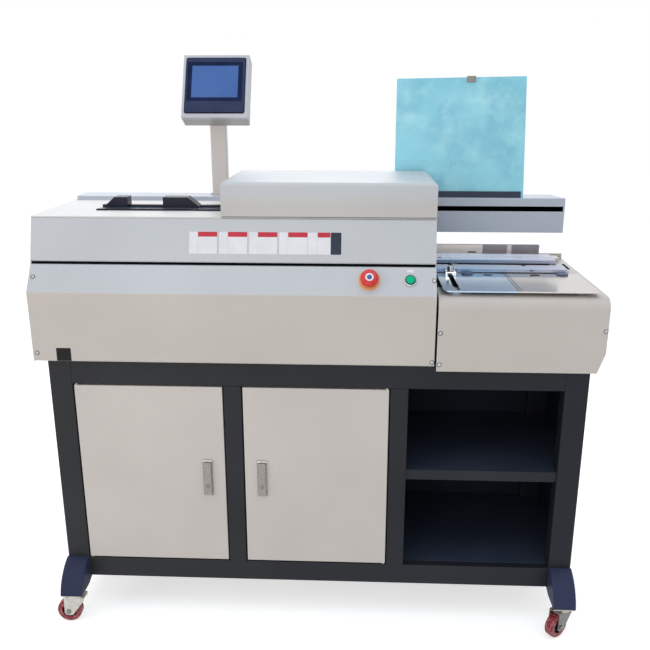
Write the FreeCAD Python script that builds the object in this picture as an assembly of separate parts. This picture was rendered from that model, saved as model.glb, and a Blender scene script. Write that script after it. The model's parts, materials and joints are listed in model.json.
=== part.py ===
import FreeCAD, Part
import math
import os

# Perfect binding machine on a caster cabinet.  Millimetres.
# X runs along the machine to the right, Y to the rear, Z up.
# Origin: on the floor under the middle of the cabinet.

Vector = FreeCAD.Vector
X, Y, Z = Vector(1, 0, 0), Vector(0, 1, 0), Vector(0, 0, 1)
ORIGIN = Vector(0, 0, 0)

# ---- driving dimensions -------------------------------------------------
GAUGE = 1.5                 # cover sheet
PLATE = 3.0                 # table and deck plate
SLIP = 0.3                  # gap between pieces that pass each other
RUN = 0.05                  # radial clearance of shafts in their bores
BEND = 2.0                  # inside bend radius of the covers
RETURN = 20.0               # returned edges of the covers

BODY_LENGTH = 1300.0
BODY_DEPTH = 440.0
HOUSING_LENGTH = 920.0      # left part with glue and milling stations
SEAM = 5.0                  # gap between the housing and the table cover

CABINET_INSET_X = 22.0      # cabinet's ends inside the body's ends
CABINET_INSET_Y = 23.0      # cabinet's face behind the body's front
CABINET_HEIGHT = 585.0
POST_WIDTH = 54.0
POST_DEPTH = 40.0
MID_POST_WIDTH = 42.0
MID_POST_DEPTH = 20.0
MID_OPENING = 349.0         # between the two middle posts
TUBE_WALL = 2.0
LOWER_RAIL_HEIGHT = 53.0
UPPER_RAIL_HEIGHT = 64.0
SHELF_RISE = 259.0          # shelf above the cabinet's floor
SHELF_LIP = 27.0
SHELF_SETBACK = 6.0         # shelf's lip behind the cabinet's face

DOOR_GAP = 3.0
DOOR_THICKNESS = 16.0
HINGE_INSET = 5.0           # hinge pin from the door's front and side faces
HINGE_PIN_R = 3.0
HINGE_PIN_LENGTH = 16.0
HINGE_BLOCK = 22.0
HINGE_PLATE = 5.0
HANDLE_WIDTH = 24.0
HANDLE_HEIGHT = 94.0
HANDLE_DROP = 190.0         # top of the handle below the upper rail
HANDLE_EDGE = 42.0          # free edge of the door to the middle of the handle
HANDLE_CORNER_R = 1.5
LEVER_WIDTH = 18.0
LEVER_MARGIN = 3.0          # lever's tip above the plate's lower end
LEVER_THICKNESS = 6.0
LEVER_TIP_R = 3.0
SPINDLE_R = 4.0
SPINDLE_DROP = 14.0         # spindle below the top of the handle plate
CAM_THICKNESS = 3.0
CAM_WIDTH = 16.0
CAM_HOOK = 8.0              # how far the turned cam reaches behind the post
CAM_GAP = 2.0

FOOT_WIDTH = 54.0
FOOT_REACH = 70.0           # toe in front of the cabinet's face
FOOT_SEAT = 57.0            # flat underside for the caster
FOOT_FRONT_RISE = 56.0      # top of the foot above the cabinet's underside
HEEL_RISE = 15.0            # cabinet's underside above the foot's seat
FOOT_HEEL = 37.0            # heel behind the cabinet's face
FOOT_INSET = 25.0           # middle of the foot inside the cabinet's end
FOOT_BULGE = 15.0

WHEEL_R = 30.5
WHEEL_WIDTH = 22.0
WHEEL_EDGE_R = 4.0
DISH_R = 21.0
DISH_DEPTH = 5.5
HUB_R = 12.0
AXLE_R = 4.0
AXLE_HEAD_R = 6.4
AXLE_HEAD = 2.8
CASTER_TRAIL = 16.0
CASTER_PLATE = 3.0
FORK_GAUGE = 2.5
FORK_GAP = 2.0
FORK_TOP_LENGTH = 50.0
FORK_NOSE_R = 10.0
FORK_TIP_FLAT = 2.0
FORK_SKIRT = 7.5            # depth of the fork's legs at their shallow end
RACE_R = 21.0
RACE_HEIGHT = 9.9
KINGPIN_R = 5.0
KINGPIN_HEAD_R = 9.0
KINGPIN_HEAD = 5.0

BED_PLATE = 4.0
BELLY_HEIGHT = 163.0        # upright part of the lower cover
STRIP_RISE = 57.0           # leaning control strip
COVER_SETBACK = 38.0        # top of the control strip behind the belly
SLOT_HEIGHT = 6.0
UPPER_SETBACK = 40.0
DECK_SETBACK = 70.0
DECK_RISE = 105.0           # deck above the control strip
SIDE_PLATE = 6.0
SIDE_PLATE_INSET = 4.0

HOOD_LENGTH = 484.0
HOOD_HEIGHT = 78.5          # above the deck
HOOD_OVERHANG = 2.0
HOOD_GAP = 2.0              # between the closed hood and the deck
HOOD_BACK_GAP = 5.0         # between the hood and the beam
DECK_RECESS = 4.0           # deck edge set back under the hood
HOOD_ROUND = 9.0
HOOD_HINGE_R = 4.0
HOOD_PIN_R = 2.0
HOOD_KNUCKLE = 40.0
HOOD_KNUCKLE_PITCH = 100.0
WINDOW_MARGIN = 14.0
WINDOW_SETBACK = 105.0      # opening in the deck behind the belly
WINDOW_BACK_GAP = 20.0      # opening in the deck before the beam
WINDOW_CORNER_R = 6.0

BEAM_DEPTH = 79.0
BEAM_HEIGHT = 89.0
BEAM_PROUD = 10.0           # beam's top above the deck
BEAM_BACK_GAP = 3.0
BEAM_WALL = 2.5
BEAM_SHORT = 25.0           # right end of the beam inside the body's end
BEAM_END_SLANT = 20.0
BEAM_SLOT_DROP = 21.0       # slot below the beam's top
BEAM_SLOT_HEIGHT = 13.0
BEAM_SLOT_END = 4.0

SHAFT_R = 7.0
SHAFT_BACK = 17.0           # shafts in front of the beam's rear face
SHAFT_LOW_RISE = 20.0
SHAFT_HIGH_DROP = 17.0
BLOCK_LENGTH = 120.0
BLOCK_MARGIN = 5.0          # above and below the bearing block
BLOCK_SETBACK = 19.5        # bearing block behind the beam's front wall
BLOCK_BACK_GAP = 2.5

CARRIAGE_BACK = 195.0       # middle of the clamp left of the housing's right end
CARRIAGE_MARGIN = 10.0      # frame beyond the jaws' ends
CARRIAGE_PLATE = 8.0
CARRIAGE_SETBACK = 175.0    # front bar behind the belly
CARRIAGE_CORNER_R = 8.0
JAW_LENGTH = 340.0
JAW_THICKNESS = 10.0
JAW_OPENING = 60.0          # thickest book the clamp takes
REAR_JAW_BACK = 50.0        # rear jaw's face in front of the beam
JAW_CLEARANCE = 8.0         # jaws above the cutter
ARM_WIDTH = 116.0
GUIDE_BAR_R = 5.0
GUIDE_BAR_INSET = 11.0      # from the jaw's end, outside the length of an A4 book
GUIDE_BAR_DROP = 28.5
SCREW_R = 6.0
SCREW_DROP = 63.5
SCREW_OVERHANG = 50.0       # clamp screw in front of its motor, jaw open
CLAMP_MOTOR_R = 22.0
CLAMP_MOTOR_LENGTH = 34.0
PASSAGE_MARGIN = 7.0        # round the screw in the side plate's opening

MOTOR_R = 14.0
MOTOR_RISE = 27.0           # travel motor above the beam's underside
MOTOR_BESIDE = 25.0         # travel motor beside the bearing block
MOTOR_BACK_GAP = 5.0        # travel motor's end from the lower shaft
MOTOR_SHAFT_R = 4.0
SPROCKET_R = 16.0
SPROCKET_WIDTH = 7.0
CHAIN_WIDTH = 8.0

BOARD_BACK = 83.0           # board's left edge left of the housing's right end
BOARD_LENGTH = 332.0
BOARD_TAPER = 12.0          # the sheet narrows slightly upwards
BOARD_RISE = 6.0            # right top corner above the left one
BOARD_HEIGHT = 293.0
BOARD_THICKNESS = 3.0
BOARD_SETBACK = 10.0        # board behind the beam's front face
FOOT_STRIP_HEIGHT = 16.0
FOOT_STRIP_LEFT = 18.0      # from the board's left edge
FOOT_STRIP_RIGHT = 7.0      # from the board's right edge
CLIP_FROM_LEFT = 173.0
CLIP_WIDTH = 22.0
CLIP_HEIGHT = 12.0

TRACK_FROM_END = 119.0      # from the body's left end
TRACK_HOOD_GAP = 6.0
TRACK_SETBACK = 166.0
TRACK_DEPTH = 68.0
TRACK_PLATE = 2.0
TRACK_EDGE = 4.0
RIDGE_WIDTH = 16.0
RIDGE_SETBACK = 49.0        # ridge behind the track's front edge
RIDGE_HEIGHT = 5.0
STOP_DEPTH = 36.0
STOP_HEIGHT = 24.5
STOP_MARGIN = 5.0           # left stop from the track's left end
LEFT_STOP_LENGTH = 60.0
LEFT_STOP_SLOPE = 28.0
RIGHT_STOP_LENGTH = 92.0
RIGHT_STOP_SLOPE = 31.0
RIGHT_STOP_SHIFT = 9.5

POST_TUBE = 40.0
POST_FROM_END = 375.5       # panel post from the body's left end
POST_BACK = 11.0            # in front of the beam's rear face
POST_FOOT = 4.0
POST_FOOT_SIZE = 48.0
POST_HEIGHT = 199.5         # panel's lower edge above the beam
POST_OVERLAP = 45.0         # post's top above the panel's lower rear edge
PANEL_WIDTH = 170.0
PANEL_LENGTH = 170.5
PANEL_DEPTH = 50.0
PANEL_TILT = 26.0           # degrees
PANEL_FORWARD = 66.0        # panel's lower edge in front of the post's middle
PANEL_TAPER = 0.5
BEZEL_EDGE = (7.6, 9.6)     # panel's rim beside and above the bezel
BEZEL_RAISE = 4.0
BEZEL_SHIFT_X = -0.5
BEZEL_SHIFT_UP = 1.2
BEZEL_BODY = 32.0
SCREEN_EDGE = (18.0, 32.5)  # bezel's rim beside and above the display
SCREEN_SHIFT_UP = 9.3
SCREEN_RECESS = 1.2

CONTROL_RISE = 31.5         # buttons above the foot of the control strip
ESTOP_BACK = 149.0          # left of the housing's right end
START_BACK = 58.0
ESTOP_R = 20.0
ESTOP_BASE_R = 24.0
ESTOP_BASE = 3.0
ESTOP_STEM_R = 8.0
ESTOP_TRAVEL = 5.0
ESTOP_CAP = 12.0
ESTOP_ROUND = 6.0
BUTTON_BODY_R = 11.0
BUTTON_BODY = 40.0
START_BEZEL_R = 14.5
START_BEZEL = 4.0
START_PROUD = 3.5
START_TRAVEL = 3.0
BUTTON_WALL = 1.5

TABLE_RISE = 173.0          # table above the cabinet
TABLE_SEAM = 11.0           # table's left edge from the cover's
TABLE_END_GAP = 20.0        # from the body's right end
TABLE_SETBACK = 15.0
TABLE_CORNER_R = 16.0
RAIL_END_GAP = 48.0         # nipping plates from the body's right end
STRIP_DEPTH = 50.5          # fixed strip behind the nipping plates
NIP_RAISE = 2.0             # nipping plates above the table
NIP_THICKNESS = 9.0
NIP_FRONT_DEPTH = 44.0
PLATFORM_DEPTH = 62.0
PLATFORM_DROP = 7.0         # platform below the nipping plates at rest
PLATFORM_THICKNESS = 8.0
PLATFORM_ROD_R = 8.0
PLATFORM_ROD_INSET = 83.0   # rods from the platform's ends
PLATFORM_ROD_LENGTH = 80.0
BEARER_WIDTH = 16.0
BEARER_DROP = 26.0
BEARER_FROM_LEFT = 48.0
LEG_FRONT = 110.0           # behind the belly
LEG_REAR = 35.0
LIFT_BLOCK = 34.0
LIFT_BLOCK_DROP = 42.0
LIFT_CROSS = 24.0
GUIDE_FROM_LEFT = 32.0
GUIDE_SLOT_WIDTH = 12.0
GUIDE_SLOT_MARGIN = 9.0     # slot from the table's front edge
GUIDE_SLOT_BACK = 8.0       # slot from the nipping plate
GUIDE_BACK = 26.0           # guide block from the nipping plate
GUIDE_BLOCK = (26.0, 30.0, 10.0)
GUIDE_KNOB_R = 9.0
GUIDE_KNOB_HEIGHT = 12.0
GUIDE_STEM_R = 3.3
THUMB_R = 14.0
THUMB_HEIGHT = 4.0
THUMB_INSET = (74.0, 14.0)  # from the table's left edge and from the nipping plates' right end

RIGHT_COVER_DROP = 11.0     # below the cabinet's top
RIGHT_COVER_CORNER = (16.0, 47.0)   # width and height of its cut-off lower corner
RIGHT_COVER_GAP = 11.0      # its top below the table
RIGHT_COVER_ROUND = 26.0
RIGHT_COVER_REACH = 95.0
RIGHT_COVER_FLANGE = 42.0   # along the top of its end
BACKSPLASH_RISE = 27.0
BACKSPLASH_END_GAP = 64.0

TANK_BACK = 460.0           # tank's left end left of the housing's right end
TANK_LENGTH = 160.0
TANK_DEPTH = 112.0
TANK_RISE = 9.0             # tank's rim above the table
TANK_HEIGHT = 76.0
TANK_WALL = 4.0
ROLLER_R = 24.0
ROLLER_PROUD = 10.0
ROLLER_CLEARANCE = 8.0      # between a roller and the tank's end wall
ROLLER_SHAFT_R = 5.0
ROLLER_END = 6.0

CUTTER_BACK = 172.0
CUTTER_R = 58.0
CUTTER_DROP = 2.0           # cutter below the rollers
CUTTER_THICKNESS = 8.0
CUTTER_SHAFT_R = 8.0
CUTTER_TEETH = 8
TOOTH_NOTCH = 4.0
TOOTH_LENGTH = 12.0
MILL_MOTOR_R = 48.0
MILL_MOTOR_DROP = 28.0
MILL_BASE = 12.0
MILL_BASE_SIZE = 120.0

SCREW_HEAD_R = 4.5
SCREW_HEAD = 2.5
SCREW_EDGE = 10.0           # cover screws from the covers' ends
SEAM_SCREW_EDGE = 5.0
SEAM_SCREW_RISE = 10.0      # cover screws above the cabinet's top
END_SCREW_RISE = 20.0
TABLE_SCREW_EDGES = (6.5, 5.5)      # from the right cover's left and right end
TABLE_SCREW_RISES = (79.0, 88.0)
TABLE_FOOT_RISE = 5.0
INLET_FROM_END = 90.0
INLET_RISE = 61.0
INLET_SIZE = (48.0, 28.0)
INLET_DEPTH = 22.0
INLET_FLANGE = 3.0
INLET_WALL = 2.0
INLET_PIN = (3.0, 6.0)
INLET_PITCH = 7.5

# ---- worked-out places --------------------------------------------------
LEFT, RIGHT = -BODY_LENGTH / 2, BODY_LENGTH / 2
FRONT, REAR = -BODY_DEPTH / 2, BODY_DEPTH / 2
HOUSING_RIGHT = LEFT + HOUSING_LENGTH
TABLE_COVER_LEFT = HOUSING_RIGHT + SEAM
SIDE_LEFT = LEFT + GAUGE + SIDE_PLATE_INSET
SIDE_RIGHT = HOUSING_RIGHT - SIDE_PLATE_INSET - SIDE_PLATE

FORK_TOP = 2 * WHEEL_R + FORK_GAP + KINGPIN_HEAD + SLIP + FORK_GAUGE
FOOT_BOTTOM = FORK_TOP + SLIP + RACE_HEIGHT + CASTER_PLATE
CABINET_BASE = FOOT_BOTTOM + HEEL_RISE
FOOT_TOP = CABINET_BASE + FOOT_FRONT_RISE

CABINET_X = RIGHT - CABINET_INSET_X
CABINET_Y = REAR - CABINET_INSET_Y
CABINET_TOP = CABINET_BASE + CABINET_HEIGHT
POST_INNER = CABINET_X - POST_WIDTH
MID_POST_X = (MID_OPENING + MID_POST_WIDTH) / 2
MID_INNER_Y = CABINET_Y - MID_POST_DEPTH
RAIL_LOW_TOP = CABINET_BASE + LOWER_RAIL_HEIGHT
RAIL_HIGH_BOTTOM = CABINET_TOP - UPPER_RAIL_HEIGHT
SHELF_TOP = RAIL_LOW_TOP + SHELF_RISE
HANDLE_TOP = RAIL_HIGH_BOTTOM - HANDLE_DROP
SPINDLE_Z = HANDLE_TOP - SPINDLE_DROP
HINGE_Y = -CABINET_Y + HINGE_INSET
FOOT_X = CABINET_X - FOOT_INSET
SWIVEL_Y = -CABINET_Y - FOOT_REACH + FOOT_SEAT / 2

BED_TOP = CABINET_TOP + BED_PLATE
COVER_KNEE = CABINET_TOP + BELLY_HEIGHT
COVER_TOP = COVER_KNEE + STRIP_RISE
DECK_FRONT = FRONT + DECK_SETBACK
DECK_TOP = COVER_TOP + DECK_RISE
DECK_UNDER = DECK_TOP - PLATE
CONTROL_Z = COVER_KNEE + CONTROL_RISE
ESTOP_X = HOUSING_RIGHT - ESTOP_BACK
START_X = HOUSING_RIGHT - START_BACK
START_CAP_R = BUTTON_BODY_R - BUTTON_WALL

BEAM_REAR = REAR - BEAM_BACK_GAP
BEAM_FRONT = BEAM_REAR - BEAM_DEPTH
BEAM_TOP = DECK_TOP + BEAM_PROUD
BEAM_BOTTOM = BEAM_TOP - BEAM_HEIGHT
BEAM_RIGHT = RIGHT - BEAM_SHORT
BEAM_SLOT_TOP = BEAM_TOP - BEAM_SLOT_DROP
BEAM_SLOT_BOTTOM = BEAM_SLOT_TOP - BEAM_SLOT_HEIGHT
SHAFT_Y = BEAM_REAR - SHAFT_BACK
SHAFT_LOW_Z = BEAM_BOTTOM + SHAFT_LOW_RISE
SHAFT_HIGH_Z = BEAM_TOP - SHAFT_HIGH_DROP
MOTOR_Z = BEAM_BOTTOM + MOTOR_RISE
BLOCK_FRONT = BEAM_FRONT + BEAM_WALL + BLOCK_SETBACK
SPROCKET_REAR = BLOCK_FRONT - PLATE - SLIP

HOOD_LEFT = HOUSING_RIGHT - HOOD_LENGTH
HOOD_TOP = DECK_TOP + HOOD_HEIGHT
HOOD_KNUCKLES = int((HOOD_LENGTH - 3 * HOOD_KNUCKLE) / HOOD_KNUCKLE_PITCH) + 1
HOOD_REAR = BEAM_FRONT - HOOD_BACK_GAP
HINGE_AXIS_Y = HOOD_REAR + HOOD_HINGE_R + SLIP
HINGE_AXIS_Z = HOOD_TOP - HOOD_HINGE_R - GAUGE / 2
WINDOW_FRONT = FRONT + WINDOW_SETBACK
WINDOW_REAR = BEAM_FRONT - WINDOW_BACK_GAP

TABLE_TOP = CABINET_TOP + TABLE_RISE
TANK_TOP = TABLE_TOP + TANK_RISE
ROLLER_TOP = TANK_TOP + ROLLER_PROUD
ROLLER_Z = ROLLER_TOP - ROLLER_R
CUTTER_TOP = ROLLER_TOP - CUTTER_DROP
MILL_MOTOR_TOP = CUTTER_TOP - MILL_MOTOR_DROP

CARRIAGE_X = HOUSING_RIGHT - CARRIAGE_BACK
MOTOR_X = CARRIAGE_X + BLOCK_LENGTH / 2 + MOTOR_BESIDE
CARRIAGE_TOP = BEAM_SLOT_BOTTOM + (BEAM_SLOT_HEIGHT + CARRIAGE_PLATE) / 2
CARRIAGE_UNDER = CARRIAGE_TOP - CARRIAGE_PLATE
REAR_JAW_FACE = BEAM_FRONT - REAR_JAW_BACK
CARRIAGE_FRONT = FRONT + CARRIAGE_SETBACK
BOOK_Y = REAR_JAW_FACE - JAW_OPENING / 2
JAW_BOTTOM = CUTTER_TOP + JAW_CLEARANCE
GUIDE_BAR_X = JAW_LENGTH / 2 - GUIDE_BAR_INSET
GUIDE_BAR_Z = CARRIAGE_UNDER - GUIDE_BAR_DROP
SCREW_Z = CARRIAGE_UNDER - SCREW_DROP
SCREW_FRONT = CARRIAGE_FRONT - CLAMP_MOTOR_LENGTH - SCREW_OVERHANG

BOARD_LEFT = HOUSING_RIGHT - BOARD_BACK
TRACK_LEFT = LEFT + TRACK_FROM_END
TRACK_RIGHT = HOOD_LEFT - TRACK_HOOD_GAP
TRACK_FRONT = FRONT + TRACK_SETBACK
RIDGE_Y = TRACK_FRONT + RIDGE_SETBACK
POST_X = LEFT + POST_FROM_END
POST_Y = BEAM_REAR - POST_BACK
PANEL_FRONT_Y = POST_Y - PANEL_FORWARD
PANEL_BOTTOM = BEAM_TOP + POST_HEIGHT
POST_TOP = PANEL_BOTTOM - PANEL_DEPTH * math.sin(math.radians(PANEL_TILT)) + POST_OVERLAP

TABLE_LEFT = TABLE_COVER_LEFT + TABLE_SEAM
TABLE_RIGHT = RIGHT - TABLE_END_GAP
TABLE_FRONT = FRONT + TABLE_SETBACK
TABLE_UNDER = TABLE_TOP - PLATE
RAIL_RIGHT = RIGHT - RAIL_END_GAP
NIP_BOTTOM = TABLE_TOP + NIP_RAISE
NIP_REAR = REAR - GAUGE - STRIP_DEPTH
PLATFORM_FRONT = BOOK_Y - PLATFORM_DEPTH / 2
PLATFORM_REAR = BOOK_Y + PLATFORM_DEPTH / 2
NIP_FRONT = PLATFORM_FRONT - SLIP - NIP_FRONT_DEPTH
BEARER_X = (TABLE_LEFT + BEARER_FROM_LEFT, RAIL_RIGHT - BEARER_WIDTH)
LEG_Y = (FRONT + LEG_FRONT, REAR - LEG_REAR)
PLATFORM_ROD_X = (TABLE_LEFT + PLATFORM_ROD_INSET, RAIL_RIGHT - PLATFORM_ROD_INSET)
LIFT_BLOCK_TOP = TABLE_TOP - LIFT_BLOCK_DROP
GUIDE_X = TABLE_LEFT + GUIDE_FROM_LEFT
GUIDE_SLOT_FRONT = TABLE_FRONT + GUIDE_SLOT_MARGIN
GUIDE_SLOT_REAR = NIP_FRONT - GUIDE_SLOT_BACK
GUIDE_Y = NIP_FRONT - GUIDE_BACK
THUMB_X = (TABLE_LEFT + THUMB_INSET[0], RAIL_RIGHT - THUMB_INSET[1])
RIGHT_COVER_TOP = TABLE_TOP - RIGHT_COVER_GAP
RIGHT_COVER_BOTTOM = CABINET_TOP - RIGHT_COVER_DROP
BACKSPLASH_TOP = TABLE_TOP + BACKSPLASH_RISE
BACKSPLASH_RIGHT = RIGHT - BACKSPLASH_END_GAP

TANK_LEFT = HOUSING_RIGHT - TANK_BACK
TANK_FRONT = BOOK_Y - TANK_DEPTH / 2
ROLLER_INSET = TANK_WALL + ROLLER_CLEARANCE + ROLLER_R
ROLLER_X = (TANK_LEFT + ROLLER_INSET, TANK_LEFT + TANK_LENGTH - ROLLER_INSET)
CUTTER_X = HOUSING_RIGHT - CUTTER_BACK
INLET_X = LEFT + INLET_FROM_END
INLET_Z = CABINET_TOP + INLET_RISE


# ---- shape helpers ------------------------------------------------------
def box(x0, x1, y0, y1, z0, z1):
    return Part.makeBox(x1 - x0, y1 - y0, z1 - z0, Vector(x0, y0, z0))


def cylinder(radius, length, base, axis=Z):
    return Part.makeCylinder(radius, length, base, axis)


def tube(x0, x1, y0, y1, z0, z1, wall, along):
    """Rectangular tube with open ends along X, Y or Z."""
    inner = [x0 + wall, x1 - wall, y0 + wall, y1 - wall, z0 + wall, z1 - wall]
    first = "XYZ".index(along) * 2
    inner[first] -= 2 * wall
    inner[first + 1] += 2 * wall
    return box(x0, x1, y0, y1, z0, z1).cut(box(*inner))


def rounded_wire(corners, radii):
    """Closed wire through the corners, each rounded by its radius; 0 leaves it sharp."""
    spans = []
    for index, corner in enumerate(corners):
        radius = radii[index]
        if radius <= 0:
            spans.append((corner, None, corner))
            continue
        back = (corners[index - 1] - corner).normalize()
        ahead = (corners[(index + 1) % len(corners)] - corner).normalize()
        half = back.getAngle(ahead) / 2
        reach = radius / math.tan(half)
        inward = (back + ahead).normalize()
        middle = corner + inward * (radius / math.sin(half) - radius)
        spans.append((corner + back * reach, middle, corner + ahead * reach))
    edges = []
    for index, (start, middle, end) in enumerate(spans):
        if middle is not None:
            edges.append(Part.Arc(start, middle, end).toShape())
        following = spans[(index + 1) % len(spans)][0]
        if end.distanceToPoint(following) > 1e-6:
            edges.append(Part.makeLine(end, following))
    return Part.Wire(edges)


def prism(corners, radii, travel):
    face = Part.Face(rounded_wire(corners, radii))
    return face.extrude(travel)


def profile_x(points, x0, x1, radii=None):
    """Solid along X from (y, z) points."""
    corners = [Vector(x0, y, z) for y, z in points]
    return prism(corners, radii or [0] * len(points), X * (x1 - x0))


def profile_y(points, y0, y1, radii=None):
    """Solid along Y from (x, z) points."""
    corners = [Vector(x, y0, z) for x, z in points]
    return prism(corners, radii or [0] * len(points), Y * (y1 - y0))


def profile_z(points, z0, z1, radii=None):
    """Solid along Z from (x, y) points."""
    corners = [Vector(x, y, z0) for x, y in points]
    return prism(corners, radii or [0] * len(points), Z * (z1 - z0))


def rectangle(a0, a1, b0, b1):
    return [(a0, b0), (a1, b0), (a1, b1), (a0, b1)]


def bent_sheet(line, gauge, bends, x0, x1):
    """Folded sheet along X; its outer face follows the (y, z) line and the sheet lies on its right."""
    headings = []
    for (y0, z0), (y1, z1) in zip(line, line[1:]):
        length = math.hypot(y1 - y0, z1 - z0)
        headings.append(((y1 - y0) / length, (z1 - z0) / length))
    inner, outer_radii, inner_radii = [], [], []
    last = len(line) - 1
    for index, (y, z) in enumerate(line):
        before = headings[max(index - 1, 0)]
        after = headings[min(index, last - 1)]
        turn = before[0] * after[1] - before[1] * after[0]
        lean = 1 + before[0] * after[0] + before[1] * after[1]
        inner.append((y + gauge * (before[1] + after[1]) / lean,
                      z - gauge * (before[0] + after[0]) / lean))
        bend = bends[index]
        sharp = bend <= 0 or abs(turn) < 1e-9
        outer_radii.append(0 if sharp else bend + (gauge if turn < 0 else 0))
        inner_radii.append(0 if sharp else bend + (0 if turn < 0 else gauge))
    points = list(line) + inner[::-1]
    return profile_x(points, x0, x1, outer_radii + inner_radii[::-1])


def mirrored_x(shape):
    return shape.mirror(ORIGIN, X)


def mirrored_y(shape):
    return shape.mirror(ORIGIN, Y)


def save(name, *shapes):
    """One STEP file per node; several shapes stay separate solids."""
    solids = [solid for shape in shapes for solid in shape.Solids]
    whole = solids[0] if len(solids) == 1 else Part.makeCompound(solids)
    whole.exportStep("parts/" + name + ".step")


# ---- cabinet ------------------------------------------------------------
def frame_posts():
    corner = tube(-CABINET_X, -POST_INNER, -CABINET_Y, -CABINET_Y + POST_DEPTH,
                  CABINET_BASE, CABINET_TOP, TUBE_WALL, "Z")
    half = MID_POST_WIDTH / 2
    middle = tube(-MID_POST_X - half, -MID_POST_X + half, -CABINET_Y, -MID_INNER_Y,
                  RAIL_LOW_TOP, RAIL_HIGH_BOTTOM, TUBE_WALL, "Z")
    left = [corner, middle, mirrored_y(corner), mirrored_y(middle)]
    return left + [mirrored_x(post) for post in left]


def frame_rails():
    rails = []
    for low, high in ((CABINET_BASE, RAIL_LOW_TOP), (RAIL_HIGH_BOTTOM, CABINET_TOP)):
        long_rail = tube(-POST_INNER, POST_INNER, -CABINET_Y, -CABINET_Y + POST_DEPTH,
                         low, high, TUBE_WALL, "X")
        cross_rail = tube(-CABINET_X, -CABINET_X + POST_DEPTH, -CABINET_Y + POST_DEPTH,
                          CABINET_Y - POST_DEPTH, low, high, TUBE_WALL, "Y")
        rails += [long_rail, mirrored_y(long_rail), cross_rail, mirrored_x(cross_rail)]
    return rails


def partition_right():
    return MID_POST_X + MID_POST_WIDTH / 2 - TUBE_WALL


def cabinet_panels():
    side = box(-CABINET_X, -CABINET_X + GAUGE, -CABINET_Y + POST_DEPTH, CABINET_Y - POST_DEPTH,
               RAIL_LOW_TOP, RAIL_HIGH_BOTTOM)
    back = box(-POST_INNER, POST_INNER, MID_INNER_Y - GAUGE, MID_INNER_Y,
               RAIL_LOW_TOP, RAIL_HIGH_BOTTOM)
    right = partition_right()
    partition = box(right - GAUGE, right, -MID_INNER_Y, MID_INNER_Y - GAUGE,
                    RAIL_LOW_TOP + GAUGE, RAIL_HIGH_BOTTOM)
    return [side, mirrored_x(side), back, partition]


def shelves():
    rear = MID_INNER_Y - GAUGE
    top = RAIL_LOW_TOP + GAUGE
    floor = box(-POST_INNER, POST_INNER, -MID_INNER_Y, rear, RAIL_LOW_TOP, top)
    sides = box(-CABINET_X + GAUGE, CABINET_X - GAUGE, -CABINET_Y + POST_DEPTH, CABINET_Y - POST_DEPTH,
                RAIL_LOW_TOP, top)
    floor = floor.fuse(sides).removeSplitter()
    front = -CABINET_Y + SHELF_SETBACK
    left = MID_POST_X + MID_POST_WIDTH / 2
    lip = [(front + RETURN, SHELF_TOP - SHELF_LIP), (front, SHELF_TOP - SHELF_LIP),
           (front, SHELF_TOP), (-CABINET_Y + POST_DEPTH, SHELF_TOP)]
    tray = bent_sheet(lip, GAUGE, [0, BEND, BEND, 0], left, POST_INNER)
    low = SHELF_TOP - GAUGE
    deep = box(partition_right(), CABINET_X - GAUGE, -CABINET_Y + POST_DEPTH,
               CABINET_Y - POST_DEPTH, low, SHELF_TOP)
    back = box(partition_right(), POST_INNER, CABINET_Y - POST_DEPTH, rear, low, SHELF_TOP)
    return [floor, tray.fuse([deep, back]).removeSplitter()]


def door_span(side):
    """Left and right edge of a door's opening; side is -1 for the left door."""
    if side < 0:
        return -POST_INNER, -MID_POST_X - MID_POST_WIDTH / 2
    return -MID_POST_X + MID_POST_WIDTH / 2, MID_POST_X - MID_POST_WIDTH / 2


def door_edges(side):
    left, right = door_span(side)
    return left + DOOR_GAP, right - DOOR_GAP


def hinge_x(side):
    left, right = door_edges(side)
    return left + HINGE_INSET if side < 0 else right - HINGE_INSET


def handle_x(side):
    left, right = door_edges(side)
    return right - HANDLE_EDGE if side < 0 else left + HANDLE_EDGE


def door(side):
    left, right = door_edges(side)
    low, high = RAIL_LOW_TOP + DOOR_GAP, RAIL_HIGH_BOTTOM - DOOR_GAP
    front, back = -CABINET_Y, -CABINET_Y + DOOR_THICKNESS
    pan = box(left, right, front, back, low, high)
    pan = pan.cut(box(left + GAUGE, right - GAUGE, front + GAUGE, back, low + GAUGE, high - GAUGE))
    spindle = cylinder(SPINDLE_R + SLIP, DOOR_THICKNESS, Vector(handle_x(side), front, SPINDLE_Z), Y)
    pin_hole = cylinder(HINGE_PIN_R + SLIP, high - low, Vector(hinge_x(side), HINGE_Y, low))
    return pan.cut(spindle).cut(pin_hole)


def door_pins():
    pins = []
    for side in (-1, 1):
        for start, way in ((RAIL_LOW_TOP, 1), (RAIL_HIGH_BOTTOM, -1)):
            pins.append(cylinder(HINGE_PIN_R, HINGE_PIN_LENGTH, Vector(hinge_x(side), HINGE_Y, start),
                                 Z * way))
    return pins


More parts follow.
